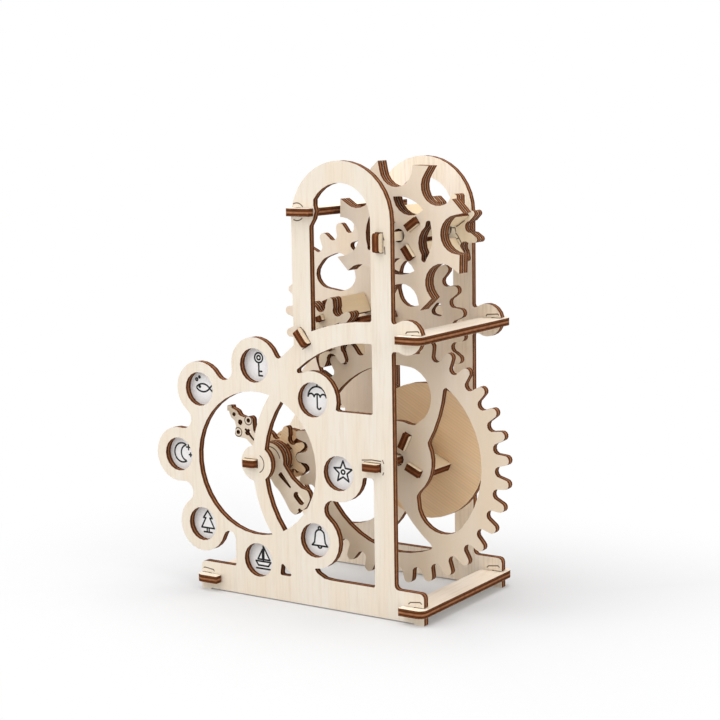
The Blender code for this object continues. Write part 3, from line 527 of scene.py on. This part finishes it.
WISP = Effect(rougher=0.06)
FIBRE = Effect(height=0.35)
PORE = Effect(cover=0.30, rougher=0.08, height=-0.5)
CORE = Effect(cover=0.85, height=0.5)
GLUE = Effect(cover=0.80, height=-0.5)
SCORCHED = Effect(cover=0.45, height=0.6)
ENGRAVED_AND_SHADE_LINE = Effect(cover=0.92, height=-1.5)
CUT = Effect(rougher=0.15)
INK = Effect(rougher=-0.1)


@dataclass(frozen=True)
class Birch:
    """Laser-cut birch plywood with burnt edges.

    Attributes:
        face: Colour of the face veneer.
        vein: Colour of the darker grain streaks.
        burnt: Colour of the burnt edge.
        glue: Colour of the dark glue lines in the edge.
        core: Colour of the paler ply in the edge.
        seam: Colour of the thin pale line in that ply.
        engraved_and_shade: Colour of the drawn lines: engraving, and on the front plate also
            painted shade along a slot.
        grain_turn: Turn of the face grain in degrees from the plan's upright.
        streaks: Strength of the streaks.
        lines: Strength of fine even lines along the grain.
        thread: Strength of the thin pale line in the edge.
        touch: Roughness, shine and relief.
    """

    face: Triple = (0.765, 0.70, 0.61)
    vein: Triple = (0.66, 0.55, 0.43)
    burnt: Triple = (0.175, 0.060, 0.020)
    glue: Triple = (0.034, 0.009, 0.003)
    core: Triple = (0.33, 0.128, 0.050)
    seam: Triple = (0.62, 0.40, 0.27)
    engraved_and_shade: Triple = (0.06, 0.03, 0.014)
    grain_turn: float = 0.0
    streaks: float = 0.55
    lines: float = 0.0
    thread: float = 0.30
    touch: Touch = Touch(rough=0.60, shine=0.04, bump=0.35, depth=0.12 * MM)

    def dress(self, node: bpy.types.Object, placement: Placement, seed: int,
              drawing: Drawing | None = None) -> None:
        """Gives a node this finish.

        Args:
            node: The node's object.
            placement: Place of the node's plan.
            seed: Number that shifts the grain, so that no two pieces match.
            drawing: Draws the lines of the front face: engraving, and on the front plate also
                painted shade along a slot.
        """
        surface = Surface("ply_" + node.name)
        plan = Plan(surface, placement)
        edge = 1.0 - abs(plan.z).step(SHEET / 2 - EDGE_ENDS, SHEET / 2 - FACE_STARTS)
        face_colour, face_rougher, face_height = self._face(surface, plan, seed)
        edge_colour, edge_height = self._edge(surface, plan, seed)
        if drawing:
            # Drawn lines: engraving, and on the front plate also painted shade of the gap round a
            # strip in its slot
            strokes = plan.inked(drawing(plan), ENGRAVED_AND_SHADE_WIDTH, ENGRAVED_AND_SHADE_SOFT) * plan.z.above(0.0)
            face_colour = surface.mix(strokes * ENGRAVED_AND_SHADE_LINE.cover, face_colour, self.engraved_and_shade)
            face_height = face_height + strokes * ENGRAVED_AND_SHADE_LINE.height
        surface.cover(node, self.touch, surface.mix(edge, face_colour, edge_colour),
                      face_rougher + edge * CUT.rougher,
                      face_height + (edge_height - face_height) * edge)

    def _face(self, surface: Surface, plan: Plan, seed: int) -> tuple[Term, Term, Term]:
        """Draws the veneer.

        Args:
            surface: Material of the piece.
            plan: Plan of the piece.
            seed: Number that shifts the grain.

        Returns:
            Its colour, added roughness and height.
        """
        wisps, fields, fibres = (pattern.drawn(surface, plan.vector, seed, self._grain())
                                 for pattern in (WISPS, FIELDS, FIBRES))
        wisps, pores = wisps.step(*WISP_LEVELS), fibres.step(*PORE_LEVELS)
        warm = tuple(value * share for value, share in zip(self.face, WARM_SHARES))
        colour = surface.mix(fields.step(*FIELD_LEVELS), self.face, warm)
        colour = surface.mix(wisps * self.streaks, colour, self.vein)
        colour = surface.mix(pores * PORE.cover * self.streaks, colour, self.vein)
        if self.lines:
            colour = surface.mix(self._rows(surface, plan) * self.lines, colour, self.vein)
        return (colour, wisps * WISP.rougher + pores * PORE.rougher,
                fibres * FIBRE.height + pores * PORE.height)

    def _grain(self) -> Triple:
        """Euler angles of the grain on the plan, in radians."""
        return (0.0, 0.0, math.radians(self.grain_turn))

    def _rows(self, surface: Surface, plan: Plan) -> Term:
        """Draws fine even lines that follow the grain, with a slight waver.

        Args:
            surface: Material of the piece.
            plan: Plan of the piece.

        Returns:
            One on the lines and nought between them.
        """
        turned = surface.mapped(plan.vector, turn=self._grain())
        across, _, _ = surface.axes(turned)
        waver = ROW_WAVER.drawn(surface, turned)
        wave = surface.math("SINE", (across + waver * ROW_WAVE) * ROW_RATE)
        return (wave * 0.5 + 0.5).step(*ROW_LEVELS)

    def _edge(self, surface: Surface, plan: Plan, seed: int) -> tuple[Term, Term]:
        """Draws the burnt cut through the plies.

        Args:
            surface: Material of the piece.
            plan: Plan of the piece.
            seed: Number that shifts the scorching.

        Returns:
            Its colour and height.
        """
        drift, scorch = (pattern.drawn(surface, plan.vector, seed) for pattern in (DRIFT, SCORCH))
        level = plan.z / SHEET + 0.5 + (drift - 0.5) * LAYER_DRIFT
        core, seam = CORE_PLY.mask(level), PALE_SEAM.mask(level)
        glue = BACK_GLUE.mask(level).larger(FRONT_GLUE.mask(level))
        rim = level.step(*FRONT_RIM).larger(1.0 - level.step(*BACK_RIM))
        colour = surface.mix(core * CORE.cover, self.burnt, self.core)
        colour = surface.mix(seam * self.thread, colour, self.seam)
        colour = surface.mix(scorch.step(*SCORCH_LEVELS) * SCORCHED.cover, colour, self.glue)
        colour = surface.mix(glue.larger(rim) * GLUE.cover, colour, self.glue)
        return colour, core * CORE.height + scorch * SCORCHED.height + glue * GLUE.height


@dataclass(frozen=True)
class Print:
    """Pale card disc with a drawing in thin black lines.

    Attributes:
        card: Colour of the card.
        ink: Colour of the lines.
        stroke: Width of the lines in millimetres.
        soft: Width of their soft edge in millimetres.
        shade: Share of the card's colour that its darker fibres have.
        touch: Roughness, shine and relief.
    """

    card: Triple = (0.93, 0.92, 0.915)
    ink: Triple = (0.010, 0.010, 0.010)
    stroke: float = 0.70
    soft: float = 0.14
    shade: float = 0.93
    touch: Touch = Touch(rough=0.60, shine=0.2, bump=0.15, depth=0.05 * MM)

    def dress(self, node: bpy.types.Object, placement: Placement, motif: Motif) -> None:
        """Gives a disc its card and drawing.

        Args:
            node: The disc's object.
            placement: Place of the disc's plan.
            motif: What is drawn.
        """
        surface = Surface("print_" + node.name)
        plan = Plan(surface, placement)
        fibre = CARD_FIBRES.drawn(surface, plan.vector)
        front = plan.z.above(CARD_SHEET / 2 - EDGE_ENDS)
        inked = plan.inked(MOTIFS[motif](plan), self.stroke, self.soft) * front
        shaded = tuple(value * self.shade for value in self.card)
        card = surface.mix(fibre.step(*CARD_LEVELS), self.card, shaded)
        surface.cover(node, self.touch, surface.mix(inked, card, self.ink),
                      inked * INK.rougher, fibre)


# The drawings are in millimetres, round the middle of a disc

def around(radius: float, angle: float) -> Point:
    """Point at a radius and an angle in degrees."""
    return radius * math.cos(math.radians(angle)), radius * math.sin(math.radians(angle))


def draw_star(plan: Plan) -> list[Term]:
    """Five-pointed star with a ring in its middle.

    Args:
        plan: Plan of the disc.

    Returns:
        Distances from the strokes.
    """
    tip, notch, corners = 4.3, 1.9, 10
    points = [around((tip, notch)[corner % 2], 90.0 + 360.0 / corners * corner)
              for corner in range(corners)]
    return [*plan.path(points, closed=True), plan.ring(0.0, 0.0, 0.8)]


def draw_umbrella(plan: Plan) -> list[Term]:
    """Open umbrella on a hooked stick."""
    scallops = [plan.bow(x, 0.4, 1.4, 0.0, 180.0) for x in (-2.8, 0.0, 2.8)]
    return [plan.bow(0.0, 0.4, 4.2, 0.0, 180.0), *scallops, plan.line(0.0, 1.8, 0.0, -3.2),
            plan.bow(0.8, -3.2, 0.8, 180.0, 360.0), plan.line(0.0, 4.6, 0.0, 5.2)]


def draw_key(plan: Plan) -> list[Term]:
    """Key with a round bow and two teeth."""
    return [plan.ring(0.0, 2.6, 1.9), plan.ring(0.0, 2.6, 0.8), plan.line(0.0, 0.7, 0.0, -4.4),
            plan.line(0.0, -4.4, 1.7, -4.4), plan.line(0.0, -2.7, 1.4, -2.7)]


def draw_fish(plan: Plan) -> list[Term]:
    """Fish with an eye, and two bubbles."""
    return [plan.bow(-0.6, -2.6, 4.2, 38.0, 142.0), plan.bow(-0.6, 2.6, 4.2, 218.0, 322.0),
            plan.line(2.7, 0.0, 4.4, 1.6), plan.line(2.7, 0.0, 4.4, -1.6),
            plan.line(4.4, 1.6, 4.4, -1.6), plan.ring(-2.2, 0.4, 0.35),
            plan.ring(-3.6, 3.2, 0.5), plan.ring(-2.2, 4.2, 0.35)]


def draw_moon(plan: Plan) -> list[Term]:
    """Crescent and two small stars.

    Args:
        plan: Plan of the disc.

    Returns:
        Distances from the strokes.
    """
    sparks: list[Term] = []
    for x, y, reach in ((2.4, 2.4, 1.0), (3.4, -0.6, 0.7)):
        sparks += [plan.line(x - reach, y, x + reach, y), plan.line(x, y - reach, x, y + reach)]
    return [plan.bow(-0.8, 0.0, 3.9, 55.0, 305.0), plan.bow(1.9, 0.0, 3.25, 101.0, 259.0), *sparks]


def draw_tree(plan: Plan) -> list[Term]:
    """Fir tree of two tiers on a trunk."""
    tiers = [(0.0, 4.6), (2.2, 1.6), (1.0, 1.6), (3.2, -2.4), (-3.2, -2.4), (-1.0, 1.6),
             (-2.2, 1.6)]
    return [*plan.path(tiers, closed=True), plan.line(-0.5, -2.4, -0.5, -4.2),
            plan.line(0.5, -2.4, 0.5, -4.2), plan.line(-2.0, -4.2, 2.0, -4.2)]


def draw_boat(plan: Plan) -> list[Term]:
    """Sailing boat over a line of water.

    Args:
        plan: Plan of the disc.

    Returns:
        Distances from the strokes.
    """
    hull = [(-3.6, -1.4), (3.6, -1.4), (2.4, -3.1), (-2.4, -3.1)]
    sail = [(0.3, 4.4), (0.3, -0.6), (3.2, -0.6)]
    return [*plan.path(hull, closed=True), *plan.path(sail, closed=True),
            plan.line(-0.4, 3.4, -0.4, -0.6), plan.line(-0.4, 3.4, -2.6, -0.6),
            plan.line(-0.4, -0.6, -2.6, -0.6), plan.line(0.0, 4.8, 0.0, -1.4),
            plan.line(-3.4, -4.3, 3.4, -4.3)]


def draw_bell(plan: Plan) -> list[Term]:
    """Bell with a clapper."""
    return [plan.bow(0.0, 1.4, 2.1, 0.0, 180.0), plan.line(-2.1, 1.4, -2.5, -1.6),
            plan.line(2.1, 1.4, 2.5, -1.6), plan.line(-2.5, -1.6, -3.6, -2.8),
            plan.line(2.5, -1.6, 3.6, -2.8), plan.line(-3.6, -2.8, 3.6, -2.8),
            plan.bow(0.0, -2.8, 0.9, 180.0, 360.0), plan.ring(0.0, 4.1, 0.6)]


MOTIFS: dict[Motif, Drawing] = {
    Motif.STAR: draw_star, Motif.UMBRELLA: draw_umbrella, Motif.KEY: draw_key,
    Motif.FISH: draw_fish, Motif.MOON: draw_moon, Motif.TREE: draw_tree,
    Motif.BOAT: draw_boat, Motif.BELL: draw_bell,
}


class Assembly:
    """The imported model, with the axis of each body and the nodes by name."""

    def __init__(self, frame: dict[str, Any]) -> None:
        """Reads the bodies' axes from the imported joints.
        """
        self.nodes: dict[str, bpy.types.Object] = frame["nodes"]
        self.axes = {joint["child"]: Vector(joint["pos_m"]) for joint in frame["joints"]}
        self.seed = 0

    def middle(self, name: str) -> Vector:
        """Middle of a node's box."""
        low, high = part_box(name)
        return (low + high) / 2

    def upright(self, name: str, axis: Vector, turn: float = 0.0) -> Placement:
        """Plan of an upright sheet round an axis."""
        return Placement(Vector((axis.x, self.middle(name).y, axis.z)), Lay.UPRIGHT, turn)

    def dress(self, name: str, finish: Birch, placement: Placement,
              drawing: Drawing | None = None) -> None:
        """Finishes one node and reports it.

        Args:
            name: Name of the node.
            finish: Its finish.
            placement: Place of its plan.
            drawing: Draws the lines of its front face: engraving, and on the front plate also
                painted shade along a slot.
        """
        self.seed += 1
        finish.dress(self.nodes[name], placement, self.seed, drawing)
        LOG.info("finished %s", name)


# Lines on the front plate, in millimetres from the middle of the dial: engraving, and in the first
# three strokes painted shade of the gap round the drive axle strip in its slot
DIAL_TAB_ARC = (0.0, 0.0, 3.75, -66.0, 62.0)
ROTOR_TAB_ARCS = ((21.8, 98.0, 3.3, 33.0, 119.0), (21.8, 98.0, 3.3, 241.0, 318.0))
FRONT_STROKES: tuple[list[Point], ...] = (
    # Painted shade: these three strokes darken the top and right end of the slot that holds the
    # drive axle strip, where the gap round the strip is in shade
    [(49.3, 6.3), (53.5, 6.75), (57.6, 6.6)],
    [(58.3, 7.05), (58.8, 6.0)],
    [(58.7, 2.4), (58.4, 1.6)],
    [(59.2, 90.7), (60.2, 88.6)],
    [(60.4, 86.0), (60.6, 83.5)],
    [(23.4, 53.9), (24.4, 52.8), (25.8, 50.5)],
    [(23.2, 46.3), (26.9, 48.5)],
    [(-27.4, -45.25), (-26.85, -45.0), (-22.55, -45.45), (-22.2, -46.0)],
)
# Brackets beside the ear and over the right foot, on both plates
JOINT_STROKES: tuple[list[Point], ...] = (
    [(69.1, 54.9), (69.5, 55.5), (74.3, 55.9), (74.6, 55.5)],
    [(69.0, -46.0), (69.7, -45.35), (73.9, -44.8), (74.5, -45.3)],
)
# Lines on the front of the star and of the pointer, in millimetres from their axis
STAR_STROKES: tuple[list[Point], ...] = (
    [(4.7, 1.2), (8.1, 3.5)],
    [(2.3, 0.7), (4.0, 0.7), (4.3, -0.7)],
    [(4.3, -1.3), (5.3, -2.5), (7.0, -5.5)],
    [(4.3, -3.7), (5.6, -3.2)],
    [(4.8, -7.0), (7.0, -6.4)],
)
POINTER_RINGS = ((17.3, 3.6, 1.75), (17.3, -3.6, 1.75))
POINTER_HUB_ARC = (0.0, 0.0, 5.3, -125.0, -40.0)


def front_marks(plan: Plan) -> list[Term]:
    """Lines of the front plate: engraving, and painted shade along the slot that holds the drive
    axle strip.
    """
    arcs = [plan.bow(*arc) for arc in (DIAL_TAB_ARC, *ROTOR_TAB_ARCS)]
    return arcs + joint_marks(plan) + plan.paths(FRONT_STROKES)


def joint_marks(plan: Plan) -> list[Term]:
    """Engraved brackets of both plates."""
    return plan.paths(JOINT_STROKES)


def star_marks(plan: Plan) -> list[Term]:
    """Short lines on the star's front, round its hub."""
    return plan.paths(STAR_STROKES)


def pointer_marks(plan: Plan) -> list[Term]:
    """Rings round two holes and an arc round the hub on the pointer's front."""
    return [*(plan.ring(*ring) for ring in POINTER_RINGS), plan.bow(*POINTER_HUB_ARC)]


@dataclass
class PlateFrame:
    """The two plates, their cross plates, the printed discs and the axle strips.

    Attributes:
        dial: Place of the dial's middle, in metres.
        front_finish: Finish of the front plate.
        rear_painted_light_finish: Finish of the rear plate. Its face colour, paler than the front
            plate's, is painted light that lifts the plate out of the shade cast on it by the parts
            in front.
        cross_painted_light_finish: Finish of the cross plates. Its face colour, paler than the
            front plate's, is painted light: tops that look lit from above.
        strip_finish: Finish of the axle strips.
        cross_plates: Ends of the cross plates' names, in the order of dressing.
        strip_turns: Turn of each axle strip in degrees.
        motifs: Drawings of the discs, in the order of the discs' numbers.
    """

    dial: Vector
    front_finish: Birch = Birch()
    # Painted light: the rear plate's face is paler than the front plate's, to brighten it where
    # other parts shade it.
    rear_painted_light_finish: Birch = Birch(face=(0.94, 0.85, 0.735))
    # Painted light: the cross plates' face is paler than the front plate's, so that their tops
    # look lit from above.
    cross_painted_light_finish: Birch = Birch(face=(0.86, 0.77, 0.665))
    strip_finish: Birch = Birch(face=(0.74, 0.62, 0.46), burnt=(0.13, 0.040, 0.013),
                                core=(0.22, 0.078, 0.030), glue=(0.07, 0.018, 0.006), thread=0.0)
    cross_plates: tuple[str, ...] = ("top", "middle", "base_left", "base_right")
    strip_turns: dict[str, float] = field(default_factory=lambda: {
        "dial_axle_strip": 0.0, "drive_axle_strip": 0.0, "middle_axle_strip": -53.0,
        "rotor_axle_strip": 90.0})
    motifs: tuple[Motif, ...] = (Motif.STAR, Motif.UMBRELLA, Motif.KEY, Motif.FISH, Motif.MOON,
                                 Motif.TREE, Motif.BOAT, Motif.BELL)

    def build(self, model: Assembly) -> None:
        """Dresses every piece of the frame body.

        Args:
            model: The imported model.
        """
        model.dress("front_plate", self.front_finish, model.upright("front_plate", self.dial),
                    front_marks)
        model.dress("rear_plate", self.rear_painted_light_finish, model.upright("rear_plate", self.dial),
                    joint_marks)
        for end in self.cross_plates:
            name = "cross_plate_" + end
            model.dress(name, self.cross_painted_light_finish, Placement(model.middle(name), Lay.UPWARD))
        for name, turn in self.strip_turns.items():
            model.dress(name, self.strip_finish, Placement(model.middle(name), Lay.UPWARD, turn))
        card = Print()
        for index, motif in enumerate(self.motifs):
            name = f"picture_disc_{index + 1}"
            card.dress(model.nodes[name], model.upright(name, model.middle(name)), motif)
            LOG.info("printed %s", name)


@dataclass
class WheelBody:
    """One turning body: its sheets round the axle and the blades that join them.

    Attributes:
        body: Name of the body.
        sheets: Sheets with their finish.
        blades: Name of the blades without their number.
        blade_turn: Turn of the first blade in degrees.
        blade_finish: Finish of the blades.
        turns: Turns of the sheets' plans in degrees, where they aren't nought.
        drawings: Engraved lines of some of the sheets.
        blade_count: Number of blades, evenly round the axle.
    """

    body: str
    sheets: dict[str, Birch]
    blades: str
    blade_turn: float
    blade_finish: Birch
    turns: dict[str, float] = field(default_factory=dict)
    drawings: dict[str, Drawing] = field(default_factory=dict)
    blade_count: int = 4

    def build(self, model: Assembly) -> None:
        """Dresses the sheets and blades of the body.

        Args:
            model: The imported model.
        """
        axis = model.axes[self.body]
        for name, finish in self.sheets.items():
            model.dress(name, finish, model.upright(name, axis, self.turns.get(name, 0.0)),
                        self.drawings.get(name))
        for index in range(self.blade_count):
            turn = self.blade_turn + 360.0 * index / self.blade_count
            model.dress(f"{self.blades}_{index + 1}", self.blade_finish,
                        Placement(axis, Lay.UPWARD, turn))


def wheel_bodies() -> list[WheelBody]:
    """Chooses the finishes of the turning bodies.

    Returns:
        The four bodies, in the order of dressing.
    """
    pale = Birch(face=(0.69, 0.585, 0.47))
    warm = Birch(face=(0.80, 0.70, 0.57), streaks=0.4)
    pink = Birch(face=(0.80, 0.70, 0.59), streaks=0.35)
    tan = Birch(face=(0.86, 0.645, 0.42), vein=(0.71, 0.51, 0.315), grain_turn=62.0, streaks=0.5,
                lines=0.4)
    rose = Birch(face=(0.745, 0.64, 0.53), streaks=0.35)
    cream = Birch(face=(0.88, 0.80, 0.66), streaks=0.4)
    blade = Birch(face=(0.80, 0.67, 0.48), burnt=(0.12, 0.036, 0.012), core=(0.20, 0.070, 0.026),
                  glue=(0.06, 0.016, 0.005), streaks=0.4, thread=0.0)
    return [
        WheelBody("rotor", {"rotor_sheet_1": rose, "rotor_sheet_2": rose, "star_sheet_1": cream,
                            "star_sheet_2": cream},
                  "rotor_blade", blade_turn=35.0, blade_finish=blade,
                  drawings={"star_sheet_1": star_marks}),
        WheelBody("middle_wheel", {"middle_gear": pink, "middle_pinion_1": warm,
                                   "middle_pinion_2": warm},
                  "middle_blade", blade_turn=22.0, blade_finish=blade),
        WheelBody("drive_wheel", {"big_gear": pale, "plain_disc": tan},
                  "drive_blade", blade_turn=-25.0, blade_finish=blade),
        WheelBody("pointer", {"pointer_arm": warm, "pointer_hub_disc": warm,
                              "pointer_pinion": tan, "pointer_flange": tan},
                  "pointer_blade", blade_turn=45.0, blade_finish=blade,
                  turns={"pointer_arm": 135.0}, drawings={"pointer_arm": pointer_marks}),
    ]


@dataclass(frozen=True)
class Lamp:
    """Square soft lamp.

    Attributes:
        name: Name of the lamp.
        place: Place in metres.
        size: Side of the square in metres.
        power: Power in watts.
    """

    name: str
    place: Triple
    size: float
    power: float


@dataclass
class Studio:
    """Pale floor, soft lamps, white surroundings and the camera.

    Attributes:
        camera_place: Place of the camera, in metres.
        camera_right: Direction of the picture's right side.
        camera_up: Direction of the picture's top.
        lens: Focal length in millimetres.
        sensor: Width of the sensor in millimetres.
        lens_shift: Upward shift of the lens, as a share of the sensor.
        near_clip: Least distance that the camera sees, in metres.
        lamps: The lamps.
        aim: Place that the lamps face, in metres.
        ambient: Strength of the surroundings as light on the object. The camera sees them at 1.
        floor_size: Side of the floor, in metres.
        floor_cuts: Cuts across the floor, each way.
        floor_colour: Colour of the floor.
        floor_rough: Roughness of the floor.
        floor_shine: Specular level of the floor.
        footprint: Half width and half depth of the floor round the object, in metres. There the
            camera sees mostly the lit grey floor: its real shadow, and a darker grey round and
            under the object that is painted shade.
        fade: Distance past the footprint at which the floor has turned white, in metres.
        least_glow: Share of plain white that the camera sees within the footprint.
    """

    camera_place: Vector = field(default_factory=lambda: Vector((0.369164, -0.55635, 0.1896)))
    camera_right: Vector = field(default_factory=lambda: Vector((0.8359, 0.5487, -0.0152)))
    camera_up: Vector = field(default_factory=lambda: Vector((-0.0663, 0.1285, 0.9895)))
    lens: float = 86.12
    sensor: float = 36.0
    lens_shift: float = -0.0025
    near_clip: float = 0.01
    lamps: tuple[Lamp, ...] = (Lamp("key", (-0.36, -0.64, 0.87), 1.3, 9.4),
                               Lamp("side", (1.25, -0.25, 0.75), 0.8, 5.0),
                               Lamp("top", (0.1, 0.2, 1.5), 1.2, 12.0))
    aim: Triple = (0.0, 0.0, 0.08)
    ambient: float = 0.63
    floor_size: float = 16.0
    floor_cuts: int = 3
    floor_colour: Triple = (0.63, 0.63, 0.635)
    floor_rough: float = 0.9
    floor_shine: float = 0.1
    footprint: Point = (0.070, 0.030)
    fade: float = 0.13
    least_glow: float = 0.12

    def build(self) -> None:
        """Makes the floor, the lamps, the world and the camera."""
        self._floor()
        self._world()
        for lamp in self.lamps:
            self._light(lamp)
        self._camera()
        bpy.context.scene.view_settings.view_transform = "Standard"

    def _floor(self) -> None:
        """Flat floor that keeps the object's shadow, is darker grey round the object as painted
        shade, and turns plain white further out.
        """
        bpy.ops.object.select_all(action="DESELECT")
        bpy.ops.mesh.primitive_plane_add(size=self.floor_size, location=(0.0, 0.0, 0.0))
        floor = bpy.context.object
        floor.name = "studio_floor"
        bpy.ops.object.mode_set(mode="EDIT")
        bpy.ops.mesh.subdivide(number_cuts=self.floor_cuts)
        bpy.ops.object.mode_set(mode="OBJECT")
        surface = Surface("studio_white")
        surface.feed(surface.shader.inputs["Base Color"], self.floor_colour)
        surface.feed(surface.shader.inputs["Roughness"], self.floor_rough)
        surface.feed(surface.shader.inputs["Specular IOR Level"], self.floor_shine)
        glow = surface.term("ShaderNodeEmission", sockets={"Color": (1.0, 1.0, 1.0),
                                                           "Strength": 1.0})
        across, along, _ = surface.axes(surface.place())
        # Painted shade: within the footprint the camera sees only a small share of white glow, so
        # the floor is darker round and under the object on top of its real shadow
        outside = (abs(across) - self.footprint[0]).larger(abs(along) - self.footprint[1])
        white = outside.step(0.0, self.fade) * (1.0 - self.least_glow) + self.least_glow
        blend = surface.term("ShaderNodeMixShader", sockets={
            0: self._to_camera(surface) * white, 1: Term(surface, surface.shader.outputs[0]),
            2: glow})
        surface.feed(surface.nodes["Material Output"].inputs["Surface"], blend)
        floor.data.materials.append(surface.material)

    def _world(self) -> None:
        """White surroundings, brighter to the camera than to the object."""
        world = bpy.data.worlds.new("studio")
        bpy.context.scene.world = world
        world.use_nodes = True
        tree = Tree(world.node_tree)
        back = tree.nodes["Background"]
        tree.feed(back.inputs["Color"], (1.0, 1.0, 1.0))
        tree.feed(back.inputs["Strength"], tree.math("MULTIPLY_ADD", self._to_camera(tree),
                                                     1.0 - self.ambient, self.ambient))

    def _to_camera(self, tree: Tree) -> Term:
        """One on rays from the camera and nought on the others."""
        return tree.term("ShaderNodeLightPath", output="Is Camera Ray")

    def _light(self, lamp: Lamp) -> None:
        """Adds a lamp that faces the object.

        Args:
            lamp: The lamp.
        """
        light = bpy.data.lights.new(lamp.name, "AREA")
        light.shape = "SQUARE"
        light.size = lamp.size
        light.energy = lamp.power
        holder = bpy.data.objects.new(lamp.name, light)
        holder.location = lamp.place
        way = Vector(self.aim) - Vector(lamp.place)
        holder.rotation_euler = way.to_track_quat("-Z", "Y").to_euler()
        bpy.context.scene.collection.objects.link(holder)

    def _camera(self) -> None:
        """Camera at the photograph's place."""
        lens = bpy.data.cameras.new("photo_camera")
        lens.lens = self.lens
        lens.sensor_width = self.sensor
        lens.shift_y = self.lens_shift
        lens.clip_start = self.near_clip
        holder = bpy.data.objects.new("photo_camera", lens)
        right, up = self.camera_right.normalized(), self.camera_up.normalized()
        back = right.cross(up).normalized()
        pose = Matrix((right, back.cross(right), back)).transposed().to_4x4()
        pose.translation = self.camera_place
        holder.matrix_world = pose
        bpy.context.scene.collection.objects.link(holder)
        bpy.context.scene.camera = holder


def main() -> None:
    """Loads the frame, dresses every body and sets up the studio."""
    logging.basicConfig(level=logging.INFO, format="%(name)s %(message)s")
    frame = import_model()
    model = Assembly(frame)
    PlateFrame(dial=model.axes["pointer"]).build(model)
    for wheel in wheel_bodies():
        wheel.build(model)
    Studio().build()


if __name__ == "__main__":
    main()
